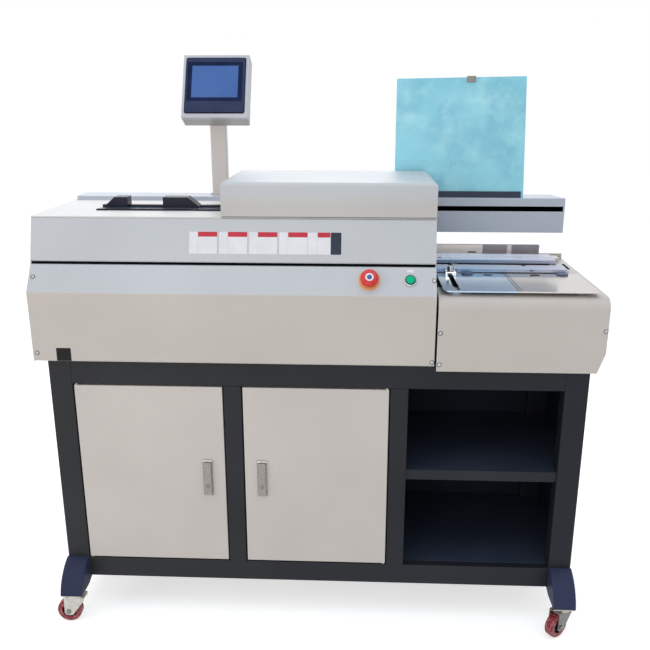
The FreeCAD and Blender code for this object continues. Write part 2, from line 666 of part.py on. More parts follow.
def door_fittings(side):
    """Two bushing plates inside the door's ends, and the handle's base plate."""
    left, right = door_edges(side)
    start = left + GAUGE if side < 0 else right - GAUGE - HINGE_BLOCK
    fittings = []
    for low in (RAIL_LOW_TOP + DOOR_GAP + GAUGE, RAIL_HIGH_BOTTOM - DOOR_GAP - GAUGE - HINGE_PLATE):
        plate = box(start, start + HINGE_BLOCK, -CABINET_Y + GAUGE, -CABINET_Y + DOOR_THICKNESS,
                    low, low + HINGE_PLATE)
        bore = cylinder(HINGE_PIN_R + RUN, HINGE_PLATE, Vector(hinge_x(side), HINGE_Y, low))
        fittings.append(plate.cut(bore))
    middle = handle_x(side)
    base = box(middle - HANDLE_WIDTH / 2, middle + HANDLE_WIDTH / 2, -CABINET_Y - PLATE, -CABINET_Y,
               HANDLE_TOP - HANDLE_HEIGHT, HANDLE_TOP)
    base = base.makeFillet(HANDLE_CORNER_R, [edge for edge in base.Edges if abs(edge.tangentAt(0).y) > 0.9])
    hole = cylinder(SPINDLE_R + RUN, PLATE, Vector(middle, -CABINET_Y - PLATE, SPINDLE_Z), Y)
    return fittings + [base.cut(hole)]


def latch(side):
    """Handle lever, its spindle, and the cam that a quarter turn swings behind the middle post."""
    middle = handle_x(side)
    face = -CABINET_Y - PLATE - SLIP
    half = LEVER_WIDTH / 2
    top = SPINDLE_Z + half
    low = HANDLE_TOP - HANDLE_HEIGHT + LEVER_MARGIN
    outline = [(middle - half, low), (middle + half, low), (middle + half, top), (middle - half, top)]
    radii = [LEVER_TIP_R, LEVER_TIP_R, half - SLIP, half - SLIP]
    lever = profile_y(outline, face - LEVER_THICKNESS, face, radii)
    cam_front = -MID_INNER_Y + CAM_GAP
    spindle = cylinder(SPINDLE_R, cam_front - face, Vector(middle, face, SPINDLE_Z), Y)
    reach = HANDLE_EDGE + DOOR_GAP + CAM_HOOK
    cam = box(middle - CAM_WIDTH / 2, middle + CAM_WIDTH / 2, cam_front, cam_front + CAM_THICKNESS,
              SPINDLE_Z - CAM_WIDTH / 2, SPINDLE_Z + reach)
    return [lever, spindle, cam]


# ---- feet and casters ---------------------------------------------------
def foot_shell():
    """Curved box-section foot under the front left post, open inside."""
    front = -CABINET_Y
    tip = front - FOOT_REACH
    chord = Vector(0, -FOOT_REACH, FOOT_BOTTOM - FOOT_TOP)
    side = Vector(0, chord.z, -chord.y).normalize()

    def shell(gauge, x0, x1):
        top = Vector(x0, front, FOOT_TOP - gauge * 2)
        toe = Vector(x0, tip + gauge, FOOT_BOTTOM + gauge)
        bulge = (top + toe) * 0.5 + side * (FOOT_BULGE - gauge / 2)
        heel = Vector(x0, tip + FOOT_SEAT - gauge / 2, FOOT_BOTTOM + gauge)
        back = Vector(x0, front + FOOT_HEEL - gauge * 2, CABINET_BASE)
        under = Vector(x0, front, CABINET_BASE)
        edges = [Part.Arc(top, bulge, toe).toShape()]
        for start, end in ((toe, heel), (heel, back), (back, under), (under, top)):
            edges.append(Part.makeLine(start, end))
        return Part.Face(Part.Wire(edges)).extrude(X * (x1 - x0))

    left = -FOOT_X - FOOT_WIDTH / 2
    outer = shell(0, left, left + FOOT_WIDTH)
    inner = shell(PLATE, left + PLATE, left + FOOT_WIDTH - PLATE)
    return outer.cut(inner)


def caster_mount():
    """Top plate, raceway and kingpin that stay with the foot."""
    half = FOOT_SEAT / 2 - GAUGE
    low = FOOT_BOTTOM - CASTER_PLATE
    plate = box(-FOOT_X - FOOT_WIDTH / 2 + GAUGE, -FOOT_X + FOOT_WIDTH / 2 - GAUGE,
                SWIVEL_Y - half, SWIVEL_Y + half, low, FOOT_BOTTOM)
    race = cylinder(RACE_R, RACE_HEIGHT, Vector(-FOOT_X, SWIVEL_Y, low - RACE_HEIGHT))
    pin_length = RACE_HEIGHT + FORK_GAUGE + 2 * SLIP
    pin = cylinder(KINGPIN_R, pin_length, Vector(-FOOT_X, SWIVEL_Y, low - pin_length))
    head = cylinder(KINGPIN_HEAD_R, KINGPIN_HEAD,
                    Vector(-FOOT_X, SWIVEL_Y, FORK_TOP - FORK_GAUGE - SLIP - KINGPIN_HEAD))
    return plate.fuse([race, pin, head]).removeSplitter()


def foot_brackets():
    left = [foot_shell(), caster_mount()]
    front = left + [mirrored_x(piece) for piece in left]
    return front + [mirrored_y(piece) for piece in front]


CASTERS = {
    "front_left": (-1, -1, 0.0),
    "front_right": (1, -1, 38.0),
    "rear_left": (-1, 1, 230.0),
    "rear_right": (1, 1, 180.0),
}


def caster_fork():
    """Fork trailing towards -X from a swivel axis on Z, with its axle."""
    inside = WHEEL_WIDTH / 2 + FORK_GAP
    outside = inside + FORK_GAUGE
    top = FORK_TOP
    half = FORK_TOP_LENGTH / 2
    crown = profile_z(rectangle(-half, half, -outside, outside), top - FORK_GAUGE, top)
    crown = crown.cut(cylinder(KINGPIN_R + RUN, FORK_GAUGE, Vector(0, 0, top - FORK_GAUGE)))
    nose = FORK_NOSE_R
    corner = nose - FORK_TIP_FLAT / 2
    leg_line = [(-half, top), (-CASTER_TRAIL - nose, WHEEL_R), (-CASTER_TRAIL - nose, WHEEL_R - nose),
                (-CASTER_TRAIL + nose, WHEEL_R - nose), (half, top - FORK_SKIRT), (half, top)]
    radii = [0, nose, corner, corner, BEND, 0]
    legs = [profile_y(leg_line, start, start + FORK_GAUGE, radii) for start in (-outside, inside)]
    hole = cylinder(AXLE_R, 2 * outside, Vector(-CASTER_TRAIL, -outside, WHEEL_R), Y)
    body = crown.fuse(legs).removeSplitter().cut(hole)
    axle = cylinder(AXLE_R, 2 * outside, Vector(-CASTER_TRAIL, -outside, WHEEL_R), Y)
    heads = [cylinder(AXLE_HEAD_R, AXLE_HEAD, Vector(-CASTER_TRAIL, y, WHEEL_R), Y * way)
             for y, way in ((-outside, -1), (outside, 1))]
    return [body, axle.fuse(heads).removeSplitter()]


def caster_wheel():
    start = Vector(-CASTER_TRAIL, -WHEEL_WIDTH / 2, WHEEL_R)
    tread = cylinder(WHEEL_R, WHEEL_WIDTH, start, Y)
    rim = [edge for edge in tread.Edges if abs(edge.Length - 2 * math.pi * WHEEL_R) < 1]
    tread = tread.makeFillet(WHEEL_EDGE_R, rim)
    for base, way in ((-WHEEL_WIDTH / 2, 1), (WHEEL_WIDTH / 2, -1)):
        centre = Vector(-CASTER_TRAIL, base, WHEEL_R)
        ring = cylinder(DISH_R, DISH_DEPTH, centre, Y * way)
        tread = tread.cut(ring.cut(cylinder(HUB_R, DISH_DEPTH, centre, Y * way)))
    return tread.cut(cylinder(AXLE_R + RUN, WHEEL_WIDTH, start, Y))


def placed_caster(shape, name):
    across, along, angle = CASTERS[name]
    moved = shape.copy()
    moved.rotate(ORIGIN, Z, angle)
    moved.translate(Vector(across * FOOT_X, -along * SWIVEL_Y, 0))
    return moved


# ---- housing ------------------------------------------------------------
def bed_plate():
    plate = box(LEFT + GAUGE, RIGHT - GAUGE, FRONT + RETURN, REAR - GAUGE, CABINET_TOP, BED_TOP)
    return plate.cut(outside_corner(GAUGE))


def lower_line():
    knee = (FRONT + COVER_SETBACK, COVER_TOP)
    return [(FRONT + RETURN, CABINET_TOP), (FRONT, CABINET_TOP), (FRONT, COVER_KNEE), knee,
            (knee[0] + RETURN, COVER_TOP)]


def upper_line():
    base = COVER_TOP + SLOT_HEIGHT
    front = FRONT + UPPER_SETBACK
    return [(front + RETURN, base), (front, base), (DECK_FRONT, DECK_UNDER),
            (DECK_FRONT + RETURN, DECK_UNDER)]


def strip_direction():
    """Unit vector up the leaning strip and the one out of it, as (y, z)."""
    run, rise = COVER_SETBACK, COVER_TOP - COVER_KNEE
    length = math.hypot(run, rise)
    return Vector(0, run / length, rise / length), Vector(0, -rise / length, run / length)


def control_point(x):
    up, _ = strip_direction()
    reach = (CONTROL_Z - COVER_KNEE) / up.z
    return Vector(x, FRONT, COVER_KNEE) + up * reach


def lower_cover():
    sheet = bent_sheet(lower_line(), GAUGE, [0, BEND, BEND * 2, BEND, 0],
                       LEFT + GAUGE, HOUSING_RIGHT)
    _, out = strip_direction()
    for x in (ESTOP_X, START_X):
        centre = control_point(x) - out * GAUGE * 2
        sheet = sheet.cut(cylinder(BUTTON_BODY_R, GAUGE * 3, centre, out))
    return sheet


def upper_cover():
    return bent_sheet(upper_line(), GAUGE, [0, BEND, BEND, 0], LEFT + GAUGE, HOUSING_RIGHT)


def left_end_cover():
    lower, upper = lower_line(), upper_line()
    outline = [(FRONT, CABINET_TOP), (FRONT, COVER_KNEE), lower[3], upper[1], upper[2],
               (DECK_FRONT, DECK_TOP), (REAR, DECK_TOP), (REAR, CABINET_TOP)]
    return profile_x(outline, LEFT, LEFT + GAUGE)


def rear_cover():
    housing = box(LEFT + GAUGE, HOUSING_RIGHT, REAR - GAUGE, REAR, CABINET_TOP, DECK_UNDER)
    table = box(HOUSING_RIGHT, RIGHT - GAUGE, REAR - GAUGE, REAR, CABINET_TOP, TABLE_TOP + PLATE)
    splash = box(HOUSING_RIGHT, BACKSPLASH_RIGHT, REAR - GAUGE, REAR, TABLE_TOP, BACKSPLASH_TOP)
    width, height = INLET_SIZE
    edge = INLET_FLANGE
    hole = box(INLET_X - width / 2 + edge, INLET_X + width / 2 - edge, REAR - GAUGE, REAR,
               INLET_Z - height / 2 + edge, INLET_Z + height / 2 - edge)
    return housing.fuse([table, splash]).removeSplitter().cut(hole).cut(outside_corner(GAUGE))


def window():
    """Opening in the deck under the hood."""
    return (HOOD_LEFT + WINDOW_MARGIN, HOUSING_RIGHT - WINDOW_MARGIN, WINDOW_FRONT, WINDOW_REAR)


def deck():
    plate = box(LEFT + GAUGE, HOUSING_RIGHT, DECK_FRONT, BEAM_FRONT, DECK_UNDER, DECK_TOP)
    x0, x1, y0, y1 = window()
    opening = profile_z(rectangle(x0, x1, y0, y1), DECK_UNDER, DECK_TOP, [WINDOW_CORNER_R] * 4)
    recess = box(HOOD_LEFT, HOUSING_RIGHT, FRONT, DECK_FRONT + DECK_RECESS,
                 DECK_UNDER, DECK_TOP)
    return plate.cut(opening).cut(recess)


def side_plates():
    """Two structural plates on the bed that carry the beam, the deck and the covers."""
    front = FRONT + COVER_SETBACK + PLATE
    step = FRONT + UPPER_SETBACK + RETURN
    lip = DECK_FRONT + RETURN
    outline = [(front, BED_TOP), (front, COVER_TOP - GAUGE), (step, COVER_TOP - GAUGE),
               (step, COVER_TOP + SLOT_HEIGHT + RETURN), (lip - RETURN + PLATE, DECK_UNDER - GAUGE),
               (lip, DECK_UNDER - GAUGE), (lip, DECK_UNDER), (REAR - GAUGE, DECK_UNDER),
               (REAR - GAUGE, BED_TOP)]
    right = profile_x(outline, SIDE_RIGHT, SIDE_RIGHT + SIDE_PLATE)
    passage = box(SIDE_RIGHT, SIDE_RIGHT + SIDE_PLATE, SCREW_FRONT - PASSAGE_MARGIN, BEAM_FRONT,
                  CUTTER_TOP, CARRIAGE_TOP + PLATE)
    left = profile_x(outline, SIDE_LEFT, SIDE_LEFT + SIDE_PLATE)
    ledge = box(LEFT, RIGHT, BEAM_FRONT, REAR, BEAM_BOTTOM, BEAM_TOP)
    return [left.cut(ledge), right.cut(passage).cut(ledge)]


def guide_beam():
    """Hollow beam along the rear, its right end slanted, with a slot in its front wall for the carriage."""
    wall = BEAM_WALL
    lean = BEAM_END_SLANT / BEAM_DEPTH
    end_wall = wall * math.hypot(1, lean)

    def block(inset, thickness, end_thickness):
        left = SIDE_LEFT + inset
        front, rear = BEAM_FRONT + inset, BEAM_REAR - inset
        front_right = BEAM_RIGHT - inset * lean - end_thickness
        rear_right = front_right - (rear - front) * lean
        outline = [(left, front), (front_right, front), (rear_right, rear), (left, rear)]
        return profile_z(outline, BEAM_BOTTOM + thickness, BEAM_TOP - thickness)

    slot = box(SIDE_LEFT + BEAM_SLOT_END, BEAM_RIGHT - BEAM_SLOT_END, BEAM_FRONT, BEAM_FRONT + wall,
               BEAM_SLOT_BOTTOM, BEAM_SLOT_TOP)
    return block(0, 0, 0).cut(block(wall, wall, end_wall)).cut(slot)


def shaft_ends():
    return SIDE_LEFT + BEAM_WALL, BEAM_RIGHT - BEAM_WALL - BEAM_END_SLANT - SLIP


def guide_shafts():
    start, end = shaft_ends()
    return [cylinder(SHAFT_R, end - start, Vector(start, SHAFT_Y, z), X)
            for z in (SHAFT_LOW_Z, SHAFT_HIGH_Z)]


# ---- hood ---------------------------------------------------------------
def hood_solid(inset):
    front = DECK_FRONT - HOOD_OVERHANG
    low, top = DECK_TOP + HOOD_GAP, HOOD_TOP - inset
    radius = HOOD_ROUND - inset
    side = rectangle(front + inset, HOOD_REAR + inset, low, top)
    along = profile_x(side, HOOD_LEFT + inset, HOUSING_RIGHT - inset, [0, 0, 0, radius])
    across = rectangle(HOOD_LEFT + inset, HOUSING_RIGHT - inset, low, top)
    crossing = profile_y(across, front, HOOD_REAR + inset + GAUGE, [0, 0, radius, radius])
    return along.common(crossing)


def knuckle_starts(fixed):
    first = HOOD_LEFT + HOOD_KNUCKLE + (0 if fixed else HOOD_KNUCKLE + SLIP)
    return [first + HOOD_KNUCKLE_PITCH * index for index in range(HOOD_KNUCKLES)]


def knuckles(fixed):
    bore = HOOD_PIN_R if fixed else HOOD_PIN_R + RUN
    rolls = []
    for start in knuckle_starts(fixed):
        base = Vector(start, HINGE_AXIS_Y, HINGE_AXIS_Z)
        roll = cylinder(HOOD_HINGE_R, HOOD_KNUCKLE, base, X)
        rolls.append(roll.cut(cylinder(bore, HOOD_KNUCKLE, base, X)))
    return rolls


def hood():
    shell = hood_solid(0).cut(hood_solid(GAUGE))
    tabs = []
    for start, roll in zip(knuckle_starts(False), knuckles(False)):
        leaf = box(start, start + HOOD_KNUCKLE, HOOD_REAR - RETURN, HINGE_AXIS_Y,
                   HINGE_AXIS_Z + HOOD_HINGE_R - GAUGE, HINGE_AXIS_Z + HOOD_HINGE_R)
        tabs.append(roll.fuse(leaf).removeSplitter())
    return shell.fuse(tabs).removeSplitter()


def hood_riser():
    """Upright plate behind the hood with the fixed knuckles, and the hinge pin."""
    left, right = HOOD_LEFT + PLATE, HOUSING_RIGHT - PLATE
    top = HINGE_AXIS_Z - HOOD_HINGE_R - SLIP
    plate = box(left, right, HINGE_AXIS_Y - GAUGE, HINGE_AXIS_Y, DECK_TOP, top)
    foot = box(left, right, WINDOW_REAR + GAUGE, HINGE_AXIS_Y, DECK_TOP, DECK_TOP + GAUGE)
    webs = []
    for start, roll in zip(knuckle_starts(True), knuckles(True)):
        web = box(start, start + HOOD_KNUCKLE, HINGE_AXIS_Y - GAUGE, HINGE_AXIS_Y,
                  top, HINGE_AXIS_Z - HOOD_PIN_R)
        webs.append(roll.fuse(web))
    first = knuckle_starts(True)[0]
    last = knuckle_starts(False)[-1] + HOOD_KNUCKLE
    pin = cylinder(HOOD_PIN_R, last - first, Vector(first, HINGE_AXIS_Y, HINGE_AXIS_Z), X)
    return plate.fuse([foot] + webs).removeSplitter().cut(pin), pin


# ---- clamp carriage -----------------------------------------------------
def carriage():
    """Bearing block, arm, top frame, fixed rear jaw, front bar and jaw guides as one casting."""
    jaw0, jaw1 = CARRIAGE_X - JAW_LENGTH / 2, CARRIAGE_X + JAW_LENGTH / 2
    rear = REAR_JAW_FACE + JAW_THICKNESS
    outline = rectangle(jaw0 - CARRIAGE_MARGIN, jaw1 + CARRIAGE_MARGIN, CARRIAGE_FRONT, rear + RETURN)
    frame = profile_z(outline, CARRIAGE_UNDER, CARRIAGE_TOP, [CARRIAGE_CORNER_R] * 4)
    mouth = box(jaw0 + JAW_THICKNESS, jaw1 - JAW_THICKNESS, REAR_JAW_FACE - JAW_OPENING - JAW_THICKNESS * 2,
                REAR_JAW_FACE, CARRIAGE_UNDER, CARRIAGE_TOP)
    rear_jaw = box(jaw0, jaw1, REAR_JAW_FACE, rear, JAW_BOTTOM, CARRIAGE_UNDER)
    front_bar = box(jaw0, jaw1, CARRIAGE_FRONT, CARRIAGE_FRONT + JAW_THICKNESS,
                    SCREW_Z - RETURN, CARRIAGE_UNDER)
    arm = box(CARRIAGE_X - ARM_WIDTH / 2, CARRIAGE_X + ARM_WIDTH / 2, rear, SHAFT_Y,
              CARRIAGE_UNDER, CARRIAGE_TOP)
    inner_low = BEAM_BOTTOM + BEAM_WALL + BLOCK_MARGIN
    inner_high = BEAM_TOP - BEAM_WALL - BLOCK_MARGIN
    block = box(CARRIAGE_X - BLOCK_LENGTH / 2, CARRIAGE_X + BLOCK_LENGTH / 2,
                BLOCK_FRONT, BEAM_REAR - BEAM_WALL - BLOCK_BACK_GAP, inner_low, inner_high)
    bars = [cylinder(GUIDE_BAR_R, REAR_JAW_FACE - CARRIAGE_FRONT,
                     Vector(CARRIAGE_X + side * GUIDE_BAR_X, CARRIAGE_FRONT, GUIDE_BAR_Z), Y)
            for side in (-1, 1)]
    whole = frame.cut(mouth).fuse([rear_jaw, front_bar, arm, block] + bars)
    for z in (SHAFT_LOW_Z, SHAFT_HIGH_Z):
        whole = whole.cut(cylinder(SHAFT_R + RUN, BLOCK_LENGTH,
                                   Vector(CARRIAGE_X - BLOCK_LENGTH / 2, SHAFT_Y, z), X))
    whole = whole.cut(cylinder(SCREW_R + RUN, JAW_THICKNESS, Vector(CARRIAGE_X, CARRIAGE_FRONT, SCREW_Z), Y))
    return whole.removeSplitter()


def moving_jaw():
    face = REAR_JAW_FACE - JAW_OPENING
    jaw = box(CARRIAGE_X - JAW_LENGTH / 2 + PLATE, CARRIAGE_X + JAW_LENGTH / 2 - PLATE,
              face - JAW_THICKNESS, face, JAW_BOTTOM, CARRIAGE_UNDER - SLIP)
    for side in (-1, 1):
        start = Vector(CARRIAGE_X + side * GUIDE_BAR_X, face - JAW_THICKNESS, GUIDE_BAR_Z)
        jaw = jaw.cut(cylinder(GUIDE_BAR_R + RUN, JAW_THICKNESS, start, Y))
    screw = cylinder(SCREW_R, face - SCREW_FRONT - JAW_THICKNESS / 2,
                     Vector(CARRIAGE_X, SCREW_FRONT, SCREW_Z), Y)
    return jaw.fuse(screw).removeSplitter()


def carriage_motor():
    """Travel motor on the bearing block, and the clamp motor whose nut draws the screw."""
    flange_left = CARRIAGE_X + BLOCK_LENGTH / 2 - MOTOR_R
    flange = box(flange_left, MOTOR_X + MOTOR_R, BLOCK_FRONT - PLATE, BLOCK_FRONT,
                 MOTOR_Z - MOTOR_R, MOTOR_Z + MOTOR_R)
    length = SHAFT_Y - SHAFT_R - MOTOR_BACK_GAP - BLOCK_FRONT
    can = cylinder(MOTOR_R, length, Vector(MOTOR_X, BLOCK_FRONT, MOTOR_Z), Y)
    shaft = cylinder(MOTOR_SHAFT_R, BLOCK_FRONT - SPROCKET_REAR + SPROCKET_WIDTH,
                     Vector(MOTOR_X, SPROCKET_REAR - SPROCKET_WIDTH, MOTOR_Z), Y)
    travel = flange.fuse([can, shaft]).removeSplitter()
    base = Vector(CARRIAGE_X, CARRIAGE_FRONT, SCREW_Z)
    clamp = cylinder(CLAMP_MOTOR_R, CLAMP_MOTOR_LENGTH, base, Y * -1)
    clamp = clamp.cut(cylinder(SCREW_R + RUN, CLAMP_MOTOR_LENGTH, base, Y * -1))
    return travel, clamp


def drive_sprocket():
    base = Vector(MOTOR_X, SPROCKET_REAR - SPROCKET_WIDTH, MOTOR_Z)
    wheel = cylinder(SPROCKET_R, SPROCKET_WIDTH, base, Y)
    return wheel.cut(cylinder(MOTOR_SHAFT_R + RUN, SPROCKET_WIDTH, base, Y))


def drive_chain():
    """Chain laid along the beam's floor; the sprocket climbs along it."""
    start, end = shaft_ends()
    top = MOTOR_Z - SPROCKET_R - SLIP
    return box(start, end, SPROCKET_REAR - CHAIN_WIDTH, SPROCKET_REAR, BEAM_BOTTOM + BEAM_WALL, top)


# ---- book board and stops -----------------------------------------------
def backboard():
    y = BEAM_FRONT + BOARD_SETBACK
    top = BEAM_TOP + BOARD_HEIGHT
    outline = [(BOARD_LEFT, BEAM_TOP), (BOARD_LEFT + BOARD_LENGTH, BEAM_TOP),
               (BOARD_LEFT + BOARD_LENGTH - BOARD_TAPER, top + BOARD_RISE), (BOARD_LEFT, top)]
    board = profile_y(outline, y, y + BOARD_THICKNESS, [0, 0, BEND, BEND])
    strip = box(BOARD_LEFT + FOOT_STRIP_LEFT, BOARD_LEFT + BOARD_LENGTH - FOOT_STRIP_RIGHT,
                y - PLATE, y, BEAM_TOP, BEAM_TOP + FOOT_STRIP_HEIGHT)
    left = BOARD_LEFT + CLIP_FROM_LEFT
    right = left + CLIP_WIDTH
    head = top + BOARD_RISE * (right - BOARD_LEFT) / (BOARD_LENGTH - BOARD_TAPER)
    clip = box(left, right, y - PLATE, y + BOARD_THICKNESS + PLATE, head - CLIP_HEIGHT, head + PLATE)
    clip = clip.cut(board)
    return board, strip, clip


def stop_track():
    """Shallow black tray on the deck with a raised front edge and the stops' ridge."""
    tray = box(TRACK_LEFT, TRACK_RIGHT, TRACK_FRONT, TRACK_FRONT + TRACK_DEPTH,
               DECK_TOP, DECK_TOP + TRACK_PLATE)
    edge = box(TRACK_LEFT, TRACK_RIGHT, TRACK_FRONT, TRACK_FRONT + GAUGE, DECK_TOP, DECK_TOP + TRACK_EDGE)
    ridge = box(TRACK_LEFT, TRACK_RIGHT, RIDGE_Y, RIDGE_Y + RIDGE_WIDTH,
                DECK_TOP + TRACK_PLATE, DECK_TOP + TRACK_PLATE + RIDGE_HEIGHT)
    return tray.fuse([edge, ridge]).removeSplitter()


def left_stop():
    left = TRACK_LEFT + STOP_MARGIN
    return stop(left, left + LEFT_STOP_LENGTH, LEFT_STOP_SLOPE, True)


def right_stop():
    """The right stop stands near the middle of the track that the left stop leaves free."""
    free = TRACK_LEFT + STOP_MARGIN + LEFT_STOP_LENGTH
    middle = (free + TRACK_RIGHT) / 2 + RIGHT_STOP_SHIFT
    return stop(middle - RIGHT_STOP_LENGTH / 2, middle + RIGHT_STOP_LENGTH / 2, RIGHT_STOP_SLOPE, False)


def stop(left, right, slope, slope_left):
    low = DECK_TOP + TRACK_PLATE + SLIP
    high = low + STOP_HEIGHT
    if slope_left:
        line = [(left, low), (right, low), (right, high), (left + slope, high)]
    else:
        line = [(left, low), (right, low), (right - slope, high), (left, high)]
    front = RIDGE_Y + (RIDGE_WIDTH - STOP_DEPTH) / 2
    wedge = profile_y(line, front, front + STOP_DEPTH)
    groove = box(left, right, RIDGE_Y - SLIP, RIDGE_Y + RIDGE_WIDTH + SLIP, low, low + RIDGE_HEIGHT)
    return wedge.cut(groove)


# ---- control panel ------------------------------------------------------
def tilted(shape):
    """Panel pieces are drawn upright with the face on y = 0, then leant back and set in place."""
    moved = shape.copy()
    moved.rotate(ORIGIN, X, -PANEL_TILT)
    moved.translate(Vector(POST_X, PANEL_FRONT_Y, PANEL_BOTTOM))
    return moved


def panel_box():
    half = PANEL_WIDTH / 2
    rear = half - PANEL_TAPER
    outer = profile_z([(-half, 0), (half, 0), (rear, PANEL_DEPTH), (-rear, PANEL_DEPTH)], 0, PANEL_LENGTH)
    wall = GAUGE
    hollow = profile_z([(-half + wall, wall), (half - wall, wall), (rear - wall, PANEL_DEPTH - wall),
                        (-rear + wall, PANEL_DEPTH - wall)], wall, PANEL_LENGTH - wall)
    x0, x1, z0, z1 = bezel_span()
    margin = BEZEL_RAISE
    cutout = box(x0 + margin, x1 - margin, -wall, wall * 2, z0 + margin, z1 - margin)
    return tilted(outer.cut(hollow).cut(cutout))


def bezel_span():
    middle = PANEL_LENGTH / 2 + BEZEL_SHIFT_UP
    half_width = PANEL_WIDTH / 2 - BEZEL_EDGE[0]
    half_length = PANEL_LENGTH / 2 - BEZEL_EDGE[1]
    return (BEZEL_SHIFT_X - half_width, BEZEL_SHIFT_X + half_width,
            middle - half_length, middle + half_length)


def panel_screen():
    """Bezel with its body behind the cut-out, and the display in it."""
    x0, x1, z0, z1 = bezel_span()
    margin = BEZEL_RAISE + SLIP
    frame = profile_y(rectangle(x0, x1, z0, z1), -BEZEL_RAISE, 0, [BEND * 2] * 4)
    body = box(x0 + margin, x1 - margin, 0, BEZEL_BODY, z0 + margin, z1 - margin)
    left, right = x0 + SCREEN_EDGE[0], x1 - SCREEN_EDGE[0]
    low, high = z0 + SCREEN_EDGE[1] + SCREEN_SHIFT_UP, z1 - SCREEN_EDGE[1] + SCREEN_SHIFT_UP
    recess = box(left, right, -BEZEL_RAISE, -GAUGE / 2, low, high)
    glass = box(left, right, -BEZEL_RAISE + SCREEN_RECESS, -GAUGE / 2, low, high)
    return tilted(frame.fuse(body).removeSplitter().cut(recess)), tilted(glass)


def panel_post():
    """Tube on a foot plate, its top cut to lie against the panel's leaning back."""
    half, foot = POST_TUBE / 2, POST_FOOT_SIZE / 2
    rear = POST_Y + min(half, BEAM_REAR - POST_Y)
    base = box(POST_X - foot, POST_X + foot, POST_Y - foot, rear, BEAM_TOP, BEAM_TOP + POST_FOOT)
    post = tube(POST_X - half, POST_X + half, POST_Y - half, rear,
                BEAM_TOP + POST_FOOT, POST_TOP, TUBE_WALL, "Z")
    panel = box(-PANEL_WIDTH, PANEL_WIDTH, -PANEL_DEPTH, PANEL_DEPTH, 0, PANEL_LENGTH)
    return base.fuse(post.cut(tilted(panel))).removeSplitter()


# ---- push buttons -------------------------------------------------------
def along_out(x, start, length, radius):
    _, out = strip_direction()
    return cylinder(radius, length, control_point(x) + out * start, out)


def button_bases():
    """Emergency stop base and start button bezel with their bodies behind the cover."""
    estop = along_out(ESTOP_X, 0, ESTOP_BASE, ESTOP_BASE_R)
    estop = estop.fuse(along_out(ESTOP_X, -BUTTON_BODY, BUTTON_BODY, BUTTON_BODY_R - RUN))
    depth = ESTOP_TRAVEL + ESTOP_BASE + SLIP
    estop = estop.cut(along_out(ESTOP_X, -depth, depth + ESTOP_BASE, ESTOP_STEM_R + RUN))
    start = along_out(START_X, 0, START_BEZEL, START_BEZEL_R)
    start = start.fuse(along_out(START_X, -BUTTON_BODY, BUTTON_BODY, BUTTON_BODY_R - RUN))
    depth = START_TRAVEL * 2 + SLIP
    start = start.cut(along_out(START_X, -depth, depth + START_BEZEL, START_CAP_R + RUN))
    return estop.removeSplitter(), start.removeSplitter()


def estop_head():
    gap = ESTOP_BASE + ESTOP_TRAVEL + SLIP
    stem = along_out(ESTOP_X, -ESTOP_BASE + SLIP, gap + ESTOP_BASE, ESTOP_STEM_R)
    cap = along_out(ESTOP_X, gap, ESTOP_CAP, ESTOP_R)
    rim = [edge for edge in cap.Edges if abs(edge.Length - 2 * math.pi * ESTOP_R) < 1]
    _, out = strip_direction()
    rim.sort(key=lambda edge: edge.CenterOfMass.dot(out))
    cap = cap.makeFillet(ESTOP_ROUND, [rim[-1]])
    return stem.fuse(cap).removeSplitter()


def start_cap():
    length = START_TRAVEL + START_BEZEL + START_PROUD
    return along_out(START_X, -START_TRAVEL, length, START_CAP_R)


# ---- cover table --------------------------------------------------------
def table_plate():
    """Front plate with the guide slot, rear strip, and two thumb screws."""
    front = profile_z(rectangle(TABLE_LEFT, TABLE_RIGHT, TABLE_FRONT, NIP_FRONT - SLIP),
                      TABLE_UNDER, TABLE_TOP, [TABLE_CORNER_R, BEND, 0, 0])
    half = GUIDE_SLOT_WIDTH / 2
    slot = profile_z(rectangle(GUIDE_X - half, GUIDE_X + half, GUIDE_SLOT_FRONT, GUIDE_SLOT_REAR),
                     TABLE_UNDER, TABLE_TOP, [half - SLIP] * 4)
    rear = box(TABLE_LEFT, TABLE_RIGHT, NIP_REAR + SLIP, REAR - GAUGE, TABLE_UNDER, TABLE_TOP)
    thumbs = [cylinder(THUMB_R, THUMB_HEIGHT, Vector(x, NIP_FRONT - SLIP - THUMB_R, TABLE_TOP))
              for x in THUMB_X]
    return [front.cut(slot), rear] + thumbs


def table_stand(x):
    """Bearer across the table on two legs, with a pocket for the platform."""
    across = x + BEARER_WIDTH
    low = TABLE_UNDER - BEARER_DROP
    bearer = box(x, across, FRONT + RIGHT_COVER_REACH + SLIP, REAR - GAUGE, low, TABLE_UNDER)
    pad = box(x, across, TABLE_FRONT + RETURN, NIP_FRONT, RIGHT_COVER_TOP, TABLE_UNDER)
    raised = box(x, across, NIP_FRONT, NIP_REAR, TABLE_UNDER, NIP_BOTTOM - SLIP)
    pocket = box(x, across, PLATFORM_FRONT - SLIP, PLATFORM_REAR + SLIP,
                 TABLE_UNDER - BEARER_DROP / 2, NIP_BOTTOM)
    legs = [box(x, across, y, y + BEARER_WIDTH, BED_TOP, TABLE_UNDER) for y in LEG_Y]
    return bearer.fuse([pad, raised] + legs).cut(pocket).removeSplitter()


